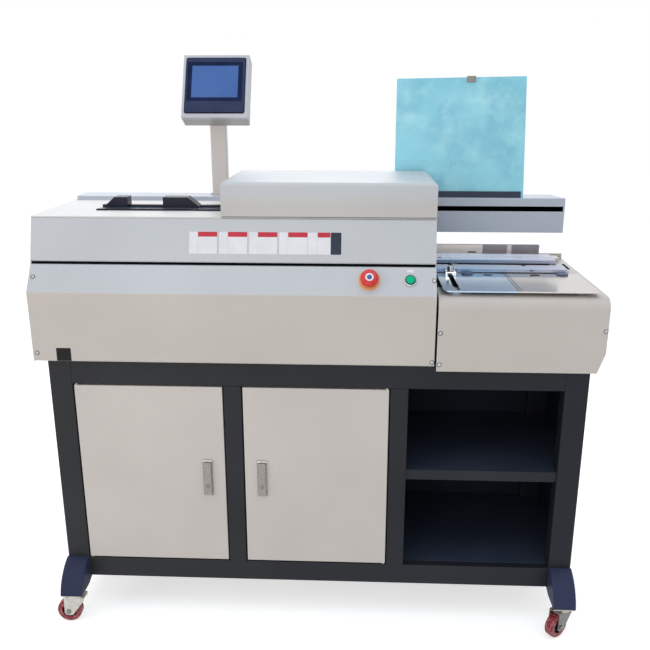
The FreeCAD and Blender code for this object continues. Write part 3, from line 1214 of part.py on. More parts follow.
def lift_blocks():
    """Guide blocks for the platform rods, joined by a cross member on the bed."""
    half = LIFT_BLOCK / 2
    blocks = [box(x - half, x + half, BOOK_Y - half, BOOK_Y + half, BED_TOP, LIFT_BLOCK_TOP)
              for x in PLATFORM_ROD_X]
    low = BED_TOP + LIFT_CROSS
    cross = box(PLATFORM_ROD_X[0], PLATFORM_ROD_X[1], BOOK_Y - half, BOOK_Y + half, BED_TOP, low)
    whole = blocks[0].fuse([blocks[1], cross])
    for x in PLATFORM_ROD_X:
        whole = whole.cut(cylinder(PLATFORM_ROD_R + RUN, LIFT_BLOCK_TOP - low, Vector(x, BOOK_Y, low)))
    return whole.removeSplitter()


def cover_platform():
    top = NIP_BOTTOM - PLATFORM_DROP
    under = top - PLATFORM_THICKNESS
    plate = box(TABLE_LEFT, RAIL_RIGHT, PLATFORM_FRONT, PLATFORM_REAR, under, top)
    rods = [cylinder(PLATFORM_ROD_R, PLATFORM_ROD_LENGTH, Vector(x, BOOK_Y, under - PLATFORM_ROD_LENGTH))
            for x in PLATFORM_ROD_X]
    return plate.fuse(rods).removeSplitter()


def nip_plate(y0, y1, low):
    plate = box(TABLE_LEFT, RAIL_RIGHT, y0, y1, low, NIP_BOTTOM + NIP_THICKNESS)
    return plate.makeChamfer(GAUGE, [edge for edge in plate.Edges
                                     if abs(edge.tangentAt(0).x) > 0.9 and edge.CenterOfMass.z > low + 1])


def nip_jaw_front():
    return nip_plate(NIP_FRONT, NIP_FRONT + NIP_FRONT_DEPTH, NIP_BOTTOM)


def nip_jaw_rear():
    return nip_plate(PLATFORM_REAR + SLIP, NIP_REAR, NIP_BOTTOM - SLIP)


def side_guide():
    """Sliding block with a key through the table's slot and a keeper under it."""
    length, depth, height = GUIDE_BLOCK
    top = TABLE_TOP + height
    block = box(GUIDE_X - length / 2, GUIDE_X + length / 2, GUIDE_Y - depth / 2, GUIDE_Y + depth / 2,
                TABLE_TOP + SLIP, top)
    block = block.makeChamfer(GAUGE, [edge for edge in block.Edges if edge.CenterOfMass.z > top - 1])
    half = GUIDE_SLOT_WIDTH / 2 - RUN
    keeper_top = TABLE_UNDER - SLIP
    key = box(GUIDE_X - half, GUIDE_X + half, GUIDE_Y - half, GUIDE_Y + half, keeper_top, TABLE_TOP + SLIP)
    keeper = box(GUIDE_X - length / 2, GUIDE_X + length / 2, GUIDE_Y - half, GUIDE_Y + half,
                 keeper_top - PLATE, keeper_top)
    bore = cylinder(GUIDE_STEM_R + RUN, height, Vector(GUIDE_X, GUIDE_Y, TABLE_TOP + SLIP))
    return block.fuse([key, keeper]).removeSplitter().cut(bore)


def guide_knob():
    base = TABLE_TOP + GUIDE_BLOCK[2] + SLIP
    knob = cylinder(GUIDE_KNOB_R, GUIDE_KNOB_HEIGHT, Vector(GUIDE_X, GUIDE_Y, base))
    knob = knob.makeChamfer(GAUGE, [edge for edge in knob.Edges if edge.CenterOfMass.z > base + 1
                                    and edge.Closed])
    reach = GUIDE_BLOCK[2] - GAUGE
    stem = cylinder(GUIDE_STEM_R, reach, Vector(GUIDE_X, GUIDE_Y, base - reach))
    return knob.fuse(stem).removeSplitter()


def right_corner(gauge):
    """Foot and knee of the cut-off corner, a gauge inside the right cover's outer face."""
    width, height = RIGHT_COVER_CORNER
    inset = gauge * math.hypot(width, height) / height
    foot = RIGHT - width - inset
    return foot, RIGHT_COVER_BOTTOM + (RIGHT - gauge - foot) * height / width


def outside_corner(gauge):
    """Region that the cut-off corner leaves free."""
    foot, knee = right_corner(gauge)
    far = RIGHT + RETURN
    line = [(foot, RIGHT_COVER_BOTTOM), (RIGHT - gauge, knee), (far, knee), (far, RIGHT_COVER_BOTTOM)]
    return profile_y(line, FRONT, REAR)


def right_cover():
    """Front skin with a rounded top, and the end with its flange; both leave the lower corner off."""
    front = [(FRONT, RIGHT_COVER_BOTTOM), (FRONT, RIGHT_COVER_TOP)]
    line = front + [(FRONT + RIGHT_COVER_REACH, RIGHT_COVER_TOP)]
    skin = bent_sheet(line, GAUGE, [0, RIGHT_COVER_ROUND, 0], TABLE_COVER_LEFT, RIGHT - GAUGE)
    foot, knee = right_corner(GAUGE)
    inside = [(foot, RIGHT_COVER_BOTTOM), (RIGHT - GAUGE, knee), (RIGHT - GAUGE, RIGHT_COVER_TOP),
              (foot, RIGHT_COVER_TOP)]
    outline = front + [(REAR, RIGHT_COVER_TOP), (REAR, RIGHT_COVER_BOTTOM)]
    end = profile_x(outline, foot, RIGHT, [0, RIGHT_COVER_ROUND + GAUGE, 0, 0])
    end = end.cut(profile_y(inside, FRONT, REAR)).cut(outside_corner(0))
    flange = box(RIGHT - GAUGE - RIGHT_COVER_FLANGE, RIGHT - GAUGE, FRONT + RIGHT_COVER_REACH,
                 REAR - GAUGE, RIGHT_COVER_TOP - GAUGE, RIGHT_COVER_TOP)
    return skin.cut(outside_corner(GAUGE)), end.fuse(flange).removeSplitter()


# ---- glue and milling stations ------------------------------------------
def glue_tank():
    right, rear = TANK_LEFT + TANK_LENGTH, TANK_FRONT + TANK_DEPTH
    low = TANK_TOP - TANK_HEIGHT
    tank = box(TANK_LEFT, right, TANK_FRONT, rear, low, TANK_TOP)
    tank = tank.cut(box(TANK_LEFT + TANK_WALL, right - TANK_WALL, TANK_FRONT + TANK_WALL,
                        rear - TANK_WALL, low + TANK_WALL, TANK_TOP))
    for x in ROLLER_X:
        tank = tank.cut(cylinder(ROLLER_SHAFT_R + RUN, TANK_DEPTH, Vector(x, TANK_FRONT, ROLLER_Z), Y))
    legs = [box(x, x + BEARER_WIDTH, y, y + BEARER_WIDTH, BED_TOP, low)
            for x in (TANK_LEFT, right - BEARER_WIDTH) for y in (TANK_FRONT, rear - BEARER_WIDTH)]
    return tank.fuse(legs).removeSplitter()


def glue_roller(x):
    start = TANK_FRONT + TANK_WALL + ROLLER_END
    drum = cylinder(ROLLER_R, TANK_DEPTH - 2 * (TANK_WALL + ROLLER_END), Vector(x, start, ROLLER_Z), Y)
    shaft = cylinder(ROLLER_SHAFT_R, TANK_DEPTH + 2 * ROLLER_END,
                     Vector(x, TANK_FRONT - ROLLER_END, ROLLER_Z), Y)
    return drum.fuse(shaft).removeSplitter()


def milling_cutter():
    low = CUTTER_TOP - CUTTER_THICKNESS
    disc = cylinder(CUTTER_R, CUTTER_THICKNESS, Vector(CUTTER_X, BOOK_Y, low))
    notch = TOOTH_NOTCH
    for index in range(CUTTER_TEETH):
        cut = box(CUTTER_R - TOOTH_LENGTH, CUTTER_R + notch, -notch, notch, CUTTER_TOP - notch, CUTTER_TOP)
        cut.rotate(ORIGIN, Z, 360.0 * index / CUTTER_TEETH)
        cut.translate(Vector(CUTTER_X, BOOK_Y, 0))
        disc = disc.cut(cut)
    shaft = cylinder(CUTTER_SHAFT_R, low - MILL_MOTOR_TOP + RETURN,
                     Vector(CUTTER_X, BOOK_Y, MILL_MOTOR_TOP - RETURN))
    return disc.fuse(shaft).removeSplitter()


def milling_motor():
    half = MILL_BASE_SIZE / 2
    base = box(CUTTER_X - half, CUTTER_X + half, BOOK_Y - half, BOOK_Y + half, BED_TOP, BED_TOP + MILL_BASE)
    low = BED_TOP + MILL_BASE
    can = cylinder(MILL_MOTOR_R, MILL_MOTOR_TOP - low, Vector(CUTTER_X, BOOK_Y, low))
    bore = cylinder(CUTTER_SHAFT_R + RUN, RETURN + SLIP,
                    Vector(CUTTER_X, BOOK_Y, MILL_MOTOR_TOP - RETURN - SLIP))
    return base.fuse(can).removeSplitter().cut(bore)


# ---- fasteners and inlet ------------------------------------------------
def cover_screws():
    """Pan heads on the front covers."""
    seam, end = HOUSING_RIGHT - SEAM_SCREW_EDGE, LEFT + SCREW_EDGE
    table_left, table_right = TABLE_COVER_LEFT + TABLE_SCREW_EDGES[0], RIGHT - TABLE_SCREW_EDGES[1]
    rises = [(seam, SEAM_SCREW_RISE), (end, END_SCREW_RISE), (table_left, TABLE_SCREW_RISES[0]),
             (table_right, TABLE_SCREW_RISES[1]), (table_left, TABLE_FOOT_RISE)]
    places = [(x, CABINET_TOP + rise) for x, rise in rises]
    heads = [cylinder(SCREW_HEAD_R, SCREW_HEAD, Vector(x, FRONT, z), Y * -1) for x, z in places]
    _, out = strip_direction()
    heads += [cylinder(SCREW_HEAD_R, SCREW_HEAD, control_point(x), out) for x in (seam, end)]
    return heads


def power_inlet():
    """Flanged three-pin inlet in the rear cover."""
    width, height = INLET_SIZE
    x0, x1 = INLET_X - width / 2, INLET_X + width / 2
    z0, z1 = INLET_Z - height / 2, INLET_Z + height / 2
    flange = profile_y(rectangle(x0, x1, z0, z1), REAR, REAR + GAUGE, [BEND] * 4)
    edge = INLET_FLANGE + SLIP
    body = box(x0 + edge, x1 - edge, REAR - INLET_DEPTH, REAR, z0 + edge, z1 - edge)
    inner = edge + INLET_WALL
    floor = REAR - INLET_DEPTH + INLET_WALL
    recess = box(x0 + inner, x1 - inner, floor, REAR + GAUGE, z0 + inner, z1 - inner)
    pin_width, pin_height = INLET_PIN
    pins = [box(x - pin_width / 2, x + pin_width / 2, floor, REAR - INLET_WALL,
                INLET_Z - pin_height / 2, INLET_Z + pin_height / 2)
            for x in (INLET_X - INLET_PITCH, INLET_X, INLET_X + INLET_PITCH)]
    return flange.fuse(body).removeSplitter().cut(recess).fuse(pins).removeSplitter()


def build():
    os.makedirs("parts", exist_ok=True)
    save("frame_posts", *frame_posts())
    save("frame_rails", *frame_rails())
    save("cabinet_panels", *cabinet_panels())
    save("shelves", *shelves())
    for name, side in (("left", -1), ("right", 1)):
        save(name + "_door", door(side))
        save(name + "_door_fittings", *door_fittings(side))
        save(name + "_latch", *latch(side))
    save("door_pins", *door_pins())
    save("foot_brackets", *foot_brackets())
    fork, wheel = caster_fork(), caster_wheel()
    for name in CASTERS:
        save("caster_fork_" + name, *[placed_caster(piece, name) for piece in fork])
        save("caster_wheel_" + name, placed_caster(wheel, name))
    save("bed_plate", bed_plate())
    save("lower_cover", lower_cover())
    save("upper_cover", upper_cover())
    save("left_end_cover", left_end_cover())
    save("rear_cover", rear_cover())
    save("deck", deck())
    save("side_plates", *side_plates())
    save("hood", hood())
    save("hood_riser", *hood_riser())
    save("guide_beam", guide_beam())
    save("guide_shafts", *guide_shafts())
    save("carriage", carriage())
    save("moving_jaw", moving_jaw())
    save("carriage_motor", *carriage_motor())
    save("drive_sprocket", drive_sprocket())
    save("drive_chain", drive_chain())
    save("backboard", *backboard())
    save("stop_track", stop_track())
    save("left_stop", left_stop())
    save("right_stop", right_stop())
    save("panel_post", panel_post())
    save("panel_box", panel_box())
    save("panel_screen", *panel_screen())
    save("button_bases", *button_bases())
    save("estop_head", estop_head())
    save("start_cap", start_cap())
    save("table_plate", *table_plate(), *[table_stand(x) for x in BEARER_X], lift_blocks())
    save("cover_platform", cover_platform())
    save("nip_jaw_front", nip_jaw_front())
    save("nip_jaw_rear", nip_jaw_rear())
    save("side_guide", side_guide())
    save("guide_knob", guide_knob())
    save("right_cover", *right_cover())
    save("glue_tank", glue_tank())
    for number, x in enumerate(ROLLER_X, 1):
        save("glue_roller_" + str(number), glue_roller(x))
    save("milling_cutter", milling_cutter())
    save("milling_motor", milling_motor())
    save("cover_screws", *cover_screws())
    save("power_inlet", power_inlet())


build()
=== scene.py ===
import json
import math

import bmesh
import bpy
from mathutils import Matrix, Vector


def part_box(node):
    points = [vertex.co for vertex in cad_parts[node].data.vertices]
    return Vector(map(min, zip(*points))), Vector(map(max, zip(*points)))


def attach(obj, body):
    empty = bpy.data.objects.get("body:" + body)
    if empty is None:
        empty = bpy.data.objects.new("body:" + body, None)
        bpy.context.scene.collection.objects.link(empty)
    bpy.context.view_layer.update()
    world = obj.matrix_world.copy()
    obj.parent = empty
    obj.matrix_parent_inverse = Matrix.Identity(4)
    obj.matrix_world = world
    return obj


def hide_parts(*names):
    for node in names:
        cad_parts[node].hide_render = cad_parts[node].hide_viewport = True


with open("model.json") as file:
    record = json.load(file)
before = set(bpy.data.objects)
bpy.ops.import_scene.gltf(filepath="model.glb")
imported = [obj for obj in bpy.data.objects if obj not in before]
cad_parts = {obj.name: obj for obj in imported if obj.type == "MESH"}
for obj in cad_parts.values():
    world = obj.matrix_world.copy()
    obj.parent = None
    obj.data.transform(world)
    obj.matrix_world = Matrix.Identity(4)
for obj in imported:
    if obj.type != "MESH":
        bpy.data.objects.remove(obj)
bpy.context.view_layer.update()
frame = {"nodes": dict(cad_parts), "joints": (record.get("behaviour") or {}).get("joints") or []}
SCENE = bpy.context.scene

# Perfect binding machine on a caster cabinet: its finishes and fine parts.
# Metres; X to the right, Y to the rear, Z up from the floor.

MM = 0.001
X, Y, Z = Vector((1, 0, 0)), Vector((0, 1, 0)), Vector((0, 0, 1))
MERGE = 0.002 * MM  # points closer than this are one
FLAT = math.radians(0.4)  # faces that turn less are one
SHARP = math.radians(50)  # edges that turn more are shaded sharp
CORNER = math.radians(35)  # edges that turn more can be rounded


def mm(*values):
    """Millimetres as metres."""
    return tuple(value * MM for value in values)


# ---- places read from the frame ----
LOWER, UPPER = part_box("lower_cover"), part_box("upper_cover")
FRONT = LOWER[0].y
HOUSING_RIGHT = LOWER[1].x
KNEE = LOWER[0].z + 163 * MM  # bend of the lower cover
HOOD_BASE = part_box("hood")[0].z
CONTROL_HEIGHT = 878.5 * MM  # the two buttons' axes on the leaning strip
DOOR_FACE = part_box("left_door")[0].y
TABLE_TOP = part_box("guide_knob")[0].z - 1.8 * MM
NIP_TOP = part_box("nip_jaw_front")[1].z
SHEET_JOINT = 449 * MM  # joint between the table's two sheets


# ---- finishes ----
def tone(red, green, blue):
    """A paint-card colour, 0 to 255, as the shader's linear colour."""
    shares = [value / 255 for value in (red, green, blue)]
    linear = [share / 12.92 if share <= 0.04045 else ((share + 0.055) / 1.055) ** 2.4 for share in shares]
    return (*linear, 1)


def set_inputs(node, inputs):
    """The node itself, with the named inputs set."""
    for name, value in inputs.items():
        node.inputs[name].default_value = value
    return node


class Finish:
    """One surface finish: a Principled shader fed by patterns on Object coordinates."""

    def __init__(self, name, slot, roughness, metallic=0, gloss=0.5):
        self.slot = slot
        self.material = bpy.data.materials.new(name)
        self.material.use_nodes = True
        self.nodes = self.material.node_tree.nodes
        self.links = self.material.node_tree.links
        self.surface = set_inputs(self.nodes["Principled BSDF"], {
            "Roughness": roughness, "Metallic": metallic, "Specular IOR Level": gloss})
        self.place = self.node("TexCoord").outputs["Object"]
        self.relief = None

    def node(self, kind, **inputs):
        """New shader node with its inputs set."""
        return set_inputs(self.nodes.new("ShaderNode" + kind), inputs)

    def noise(self, per_metre, detail=2, stretch=(1, 1, 1)):
        """Soft noise, drawn out along the axes whose stretch is small."""
        mapping = self.node("Mapping", Scale=stretch)
        self.links.new(self.place, mapping.inputs["Vector"])
        noise = self.node("TexNoise", Scale=per_metre, Detail=detail)
        self.links.new(mapping.outputs["Vector"], noise.inputs["Vector"])
        return noise.outputs["Fac"]

    def cells(self, per_metre):
        """Distance to the middle of the nearest cell."""
        voronoi = self.node("TexVoronoi", Scale=per_metre)
        self.links.new(self.place, voronoi.inputs["Vector"])
        return voronoi.outputs["Distance"]

    def along(self, axis, start, end):
        """0 before the start and 1 past the end, along the named axis."""
        place = self.node("SeparateXYZ")
        self.links.new(self.place, place.inputs["Vector"])
        return self.spread(place.outputs[axis], 0, 1, start, end)

    def spread(self, value, low=0, high=1, start=0.35, end=0.65):
        """The value's middle range stretched to run from low to high."""
        limits = {"From Min": start, "From Max": end, "To Min": low, "To Max": high}
        ranged = self.node("MapRange", **limits)
        self.links.new(value, ranged.inputs["Value"])
        return ranged.outputs["Result"]

    def patches(self, per_metre=4.5, detail=4, start=0.35, end=0.65):
        """Soft patches of 1 on 0."""
        return self.spread(self.noise(per_metre, detail), 0, 1, start, end)

    def mix(self, share, first, second):
        """The first colour where the share is 0 and the second where it is 1."""
        mixed = self.node("Mix")
        mixed.data_type = "RGBA"
        self.links.new(share, mixed.inputs["Factor"])
        for socket, colour in ((mixed.inputs[6], first), (mixed.inputs[7], second)):
            if isinstance(colour, tuple):
                socket.default_value = tone(*colour)
            else:
                self.links.new(colour, socket)
        return mixed.outputs[2]

    def colour(self, share, first, second):
        """Sets the base colour."""
        self.links.new(self.mix(share, first, second), self.surface.inputs["Base Color"])

    def rough(self, value, low, high):
        """Sets the roughness."""
        self.links.new(self.spread(value, low, high), self.surface.inputs["Roughness"])

    def bump(self, value, distance, strength):
        """Adds a relief on top of the ones before it."""
        relief = self.node("Bump", Strength=strength, Distance=distance)
        self.links.new(value, relief.inputs["Height"])
        if self.relief is not None:
            self.links.new(self.relief, relief.inputs["Normal"])
        self.relief = relief.outputs["Normal"]
        self.links.new(self.relief, self.surface.inputs["Normal"])

    def orange_peel(self, roughness):
        """Uneven gloss, orange peel and a fine grain."""
        self.rough(self.noise(18, 3), roughness - 0.05, roughness + 0.06)
        self.bump(self.noise(300, 2), 0.05 * MM, 0.5)
        self.bump(self.noise(1400, 1), 0.015 * MM, 0.5)
        return self


def powder_coat(name, slot, dark, light, roughness=0.4, gloss=0.5):
    """Baked powder paint in one cloudy tone."""
    coat = Finish(name, slot, roughness, gloss=gloss)
    coat.colour(coat.patches(), dark, light)
    return coat.orange_peel(roughness)


def two_tone_and_painted_light_coat(name, slot, first, second, start, end, axis="Z", roughness=0.4, gloss=0.5):
    """Powder paint that changes from one cloudy tone to another along an axis; most uses paint light and
    shade into the colour this way.
    """
    coat = Finish(name, slot, roughness, gloss=gloss)
    clouds = coat.patches()
    coat.colour(coat.along(axis, start, end), coat.mix(clouds, *first), coat.mix(clouds, *second))
    return coat.orange_peel(roughness)


def brushed_metal(name, slot, dark, light, roughness, stretch):
    """Bare metal with a grain; stretch is small along the grain."""
    metal = Finish(name, slot, roughness, metallic=1)
    streaks = metal.noise(1, 3, stretch)
    metal.colour(metal.spread(streaks), dark, light)
    metal.rough(streaks, roughness - 0.05, roughness + 0.08)
    metal.bump(streaks, 0.01 * MM, 0.6)
    return metal


def zinc_plate(name, slot, dark, light):
    """Zinc plating with a soft mottle."""
    zinc = Finish(name, slot, 0.36, metallic=0.75)
    mottle = zinc.cells(260)
    zinc.colour(zinc.spread(mottle, 0, 1, 0.1, 0.9), dark, light)
    zinc.rough(zinc.noise(90, 3), 0.28, 0.46)
    zinc.bump(zinc.noise(700), 0.02 * MM, 0.5)
    return zinc


def polished(name, slot, dark, light, roughness):
    """Plated or polished metal, barely marked."""
    metal = Finish(name, slot, roughness, metallic=1)
    metal.colour(metal.patches(40, 3), dark, light)
    metal.rough(metal.noise(120, 4), roughness * 0.7, roughness * 1.5)
    metal.bump(metal.noise(900), 0.004 * MM, 0.4)
    return metal


def moulded(name, slot, dark, light, roughness, grain=0.03, gloss=0.5):
    """Moulded plastic or rubber with a fine spark grain."""
    plastic = Finish(name, slot, roughness, gloss=gloss)
    plastic.colour(plastic.patches(30, 3), dark, light)
    plastic.rough(plastic.noise(200, 2), roughness - 0.06, roughness + 0.08)
    plastic.bump(plastic.noise(1100, 2), grain * MM, 0.5)
    return plastic


def table_sheet():
    """Polished sheet steel with a painted reflection: bluish to the left of the joint and warmer to the
    right.
    """
    sheet = Finish("table_sheet", "table_steel", 0.14, metallic=0.75)
    streaks = sheet.noise(1, 3, (4, 420, 420))
    share = sheet.spread(streaks)
    cool = sheet.mix(share, (184, 205, 226), (192, 211, 231))
    warm = sheet.mix(share, (202, 196, 192), (210, 204, 200))
    sheet.colour(sheet.along("X", SHEET_JOINT - 2 * MM, SHEET_JOINT + 2 * MM), cool, warm)
    sheet.rough(streaks, 0.11, 0.19)
    sheet.bump(streaks, 0.006 * MM, 0.6)
    return sheet


SPLASH_REFLECTION_END = 434 * MM  # painted reflection, bright from the housing up to here
SPLASH_GLINT = mm(500, 512)  # and a painted glint in this band


def splash_steel():
    """Stainless back plate with its reflections painted in: bright near the housing and dull beyond, with a
    bright painted glint.
    """
    plate = Finish("splash_steel", "table_steel", 0.4, metallic=0.8)

    def past(place):
        return plate.along("X", place - MM, place + MM)

    patches = plate.spread(plate.noise(1, 1, (18, 0.5, 2)), 0, 1, 0.42, 0.58)
    dull = plate.mix(patches, (144, 140, 150), (164, 158, 160))
    glinted = plate.mix(past(SPLASH_GLINT[0]), dull, (236, 230, 228))
    far = plate.mix(past(SPLASH_GLINT[1]), glinted, dull)
    plate.colour(past(SPLASH_REFLECTION_END), (255, 240, 226), far)
    plate.rough(plate.noise(60, 2), 0.34, 0.46)
    return plate


# Painted reflection: over this span the nipping plates fade from the bluish reflection of the board to
# pale.
NIP_FADE = mm(380, 590)


def nip_steel():
    """Ground steel of the nipping plates, with a painted reflection: bluish at the housing and paler
    beyond.
    """
    steel = Finish("nip_steel", "table_steel", 0.3, metallic=0.25)
    grain = steel.noise(1, 3, (3, 380, 380))
    share = steel.spread(grain)
    near = steel.mix(share, (138, 166, 198), (150, 177, 206))
    far = steel.mix(share, (182, 184, 206), (196, 198, 216))
    steel.colour(steel.along("X", *NIP_FADE), near, far)
    steel.rough(grain, 0.2, 0.34)
    steel.bump(grain, 0.01 * MM, 0.6)
    return steel


def cast_metal():
    """Sand-cast and grey-primed metal inside the machine."""
    cast = Finish("cast_metal", "cast", 0.55, metallic=0.4)
    cast.colour(cast.patches(60, 4), (112, 114, 117), (138, 140, 142))
    cast.bump(cast.noise(450, 4), 0.15 * MM, 0.6)
    return cast


def board_film():
    """Cloudy blue film on the book board, with bubbles and faint wrinkles."""
    film = Finish("board_film", "board_film", 0.34)
    clouds = film.patches(9, 3, 0.38, 0.66)
    patches = film.patches(24, 5, 0.4, 0.7)
    pale = film.mix(patches, (134, 205, 226), (172, 232, 243))
    film.colour(clouds, pale, (150, 222, 240))
    film.rough(film.noise(30, 3), 0.24, 0.42)
    film.bump(film.spread(film.cells(95), 1, 0, 0.02, 0.16), 0.12 * MM, 0.5)
    film.bump(film.noise(22, 3, (1, 1, 0.5)), 0.5 * MM, 0.4)
    return film


def wheel_rubber():
    """Red polyurethane with pale patches, partly scuffs where it rolls and partly painted highlights."""
    rubber = Finish("wheel_rubber", "wheel_red", 0.38)
    scuff_and_highlight = rubber.patches(150, 4, 0.45, 0.75)
    rubber.colour(scuff_and_highlight, (122, 26, 38), (212, 122, 126))
    rubber.rough(rubber.noise(120, 3), 0.28, 0.5)
    rubber.bump(rubber.noise(500, 3), 0.06 * MM, 0.5)
    return rubber


def display_glass():
    """Blank blue display with a faint, uneven glow."""
    glass = Finish("display_glass", "panel_plastic", 0.5, gloss=0.1)
    glow = glass.patches(5, 1)
    lit = glass.mix(glow, (66, 98, 158), (72, 104, 164))
    glass.links.new(lit, glass.surface.inputs["Base Color"])
    glass.links.new(lit, glass.surface.inputs["Emission Color"])
    set_inputs(glass.surface, {"Emission Strength": 0.12})
    return glass


# Painted light: the body paint is warmer below the knee, a painted warm bounce from the floor, and cooler
# and bluer above it, a painted sky sheen on the faces that lean back.
WARM_BOUNCE_TONES = ((200, 192, 186), (206, 198, 192))
COOL_SHEEN_TONES = ((194, 197, 202), (200, 203, 208))
BODY_PAINT = two_tone_and_painted_light_coat("body_coat", "body_paint", WARM_BOUNCE_TONES, COOL_SHEEN_TONES, KNEE - 2 * MM, KNEE + 2 * MM)
COVER_PAINT = powder_coat("cover_coat", "body_paint", (197, 194, 192), (203, 200, 198))
# Painted light: the hood is warmer in the band at its foot and cooler above, the same painted sky sheen.
HOOD_PAINT = two_tone_and_painted_light_coat("hood_coat", "body_paint", ((195, 191, 189), (201, 198, 195)), COOL_SHEEN_TONES,
                           HOOD_BASE + 24 * MM, HOOD_BASE + 54 * MM)
# Painted light: the doors are a lighter copy of the body paint, for the stronger light that falls on them.
DOOR_PAINT = powder_coat("door_coat", "body_paint", (207, 199, 194), (213, 205, 200))
# Painted light: the deck is a lighter copy of the body paint, for the light on its top.
DECK_PAINT = powder_coat("deck_coat", "body_paint", (212, 211, 210), (218, 217, 216))
FRAME_FADE = 0.6  # half the length over which the frame's colour darkens to the right, painted shade for the weaker light there
FRAME_PAINT = two_tone_and_painted_light_coat("frame_coat", "frame_paint", ((41, 42, 45), (48, 49, 52)),
                            ((29, 32, 39), (35, 38, 46)), -FRAME_FADE, FRAME_FADE, "X", 0.42, 0.2)
# Painted light: behind the lip the shelf trays are a lighter, bluer copy of their paint, lifting the shaded
# compartments.
SHELF_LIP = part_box("shelves")[0].y + 2.5 * MM
SHELF_PAINT = two_tone_and_painted_light_coat("shelf_coat", "frame_paint", ((40, 44, 50), (46, 50, 56)),
                            ((46, 54, 70), (52, 60, 77)), SHELF_LIP, SHELF_LIP + MM, "Y", 0.5, 0.15)
FOOT_PAINT = powder_coat("foot_coat", "frame_paint", (46, 51, 78), (54, 60, 88), 0.5, 0.15)
LINING = powder_coat("lining_coat", "cabinet_lining", (23, 29, 41), (28, 35, 48), 0.6, 0.15)
BEAM_PAINT = powder_coat("beam_coat", "beam_paint", (181, 188, 201), (188, 195, 207), 0.34)
PANEL_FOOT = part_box("panel_screen")[0].z
PANEL_PAINT = two_tone_and_painted_light_coat("panel_coat", "body_paint", ((162, 160, 156), (168, 166, 162)),
                            ((190, 190, 200), (198, 198, 207)), PANEL_FOOT - 6 * MM, PANEL_FOOT - MM)
POST_PAINT = powder_coat("post_coat", "body_paint", (208, 200, 196), (213, 206, 202))
MOTOR_PAINT = powder_coat("motor_coat", "motor_paint", (52, 66, 88), (60, 75, 98), 0.45)
ZINC = zinc_plate("zinc_plate", "zinc", (176, 173, 166), (206, 203, 197))
GRAIN_X, GRAIN_Y, GRAIN_ALL = (8, 300, 300), (300, 6, 300), (300, 300, 300)
STEEL = brushed_metal("ground_steel", "steel", (168, 170, 173), (196, 198, 201), 0.26, GRAIN_Y)
SHAFT_STEEL = brushed_metal("shaft_steel", "steel", (186, 188, 192), (205, 207, 210), 0.16, GRAIN_ALL)
TABLE_STEEL = table_sheet()
SPLASH_STEEL = splash_steel()
NIP_STEEL = nip_steel()
GUIDE_BLUE = powder_coat("guide_blue", "black_metal", (72, 84, 118), (84, 96, 130), 0.3)
ALUMINIUM = brushed_metal("aluminium", "aluminium", (188, 189, 191), (206, 207, 209), 0.3, GRAIN_X)
CHROME = polished("chrome_plate", "chrome", (226, 227, 230), (238, 239, 241), 0.09)
SCREW_METAL = polished("screw_plate", "chrome", (176, 178, 184), (198, 200, 205), 0.3)
HANDLE_METAL = zinc_plate("handle_plate", "chrome", (136, 129, 124), (160, 153, 148))
# Darker zinc: the dull finish of axles, clip and lock barrel, and painted shade on the front right fork.
DULL_AND_SHADED_ZINC = zinc_plate("dull_and_shaded_zinc", "zinc", (112, 110, 107), (140, 138, 134))
CAST = cast_metal()
BLACK_METAL = powder_coat("black_coat", "black_metal", (15, 16, 24), (21, 22, 31), 0.34, 0.25)
BLACK_PLASTIC = moulded("black_plastic", "black_plastic", (18, 19, 22), (25, 26, 29), 0.42, gloss=0.3)
STOP_PLASTIC = moulded("stop_plastic", "black_plastic", (19, 22, 40), (25, 28, 48), 0.34, gloss=0.25)
# Near-black matte sheet for painted shade: inside the beam, behind the cover seam and in the slots.
SHADE_BLACK = moulded("painted_shade_black", "black_plastic", (8, 8, 10), (12, 12, 14), 0.85, gloss=0.05)
TAPE = moulded("track_tape", "black_plastic", (70, 86, 104), (82, 98, 116), 0.12, 0.004)
RED_PLASTIC = moulded("red_plastic", "red_plastic", (214, 36, 40), (224, 46, 50), 0.28, 0.008)
YELLOW_PLASTIC = moulded("yellow_plastic", "yellow_plastic", (238, 158, 96), (244, 168, 108), 0.4)
GREEN_PLASTIC = moulded("green_lens", "green_plastic", (2, 188, 134), (8, 200, 144), 0.3, 0.006, 0.1)
BEZEL_PLASTIC = moulded("bezel_plastic", "panel_plastic", (46, 55, 82), (52, 61, 90), 0.5, gloss=0.12)
BEZEL_EDGE = moulded("bezel_edge", "panel_plastic", (14, 18, 40), (18, 22, 46), 0.5, gloss=0.1)
WINDOW_PLASTIC = moulded("window_plastic", "panel_plastic", (20, 30, 66), (26, 36, 74), 0.5, 0.006, 0.08)
SLATE_STRIP = moulded("slate_strip", "black_metal", (34, 42, 62), (40, 48, 70), 0.36, gloss=0.35)
CAP_BLUE = moulded("cap_blue", "red_plastic", (70, 92, 148), (82, 104, 160), 0.3, 0.008, 0.3)
CARD_WHITE = moulded("card_white", None, (226, 226, 232), (234, 234, 239), 0.4, 0.004)
CARD_RED = moulded("card_red", None, (196, 46, 66), (204, 54, 74), 0.4, 0.004, 0.3)
CARD_NAVY = moulded("card_navy", None, (34, 42, 62), (40, 48, 70), 0.4, 0.004, 0.3)
CARD_BLACK = moulded("card_black", None, (20, 18, 20), (26, 24, 26), 0.4, 0.004, 0.2)
FILM = board_film()
WHEEL_RUBBER = wheel_rubber()
DISPLAY = display_glass()


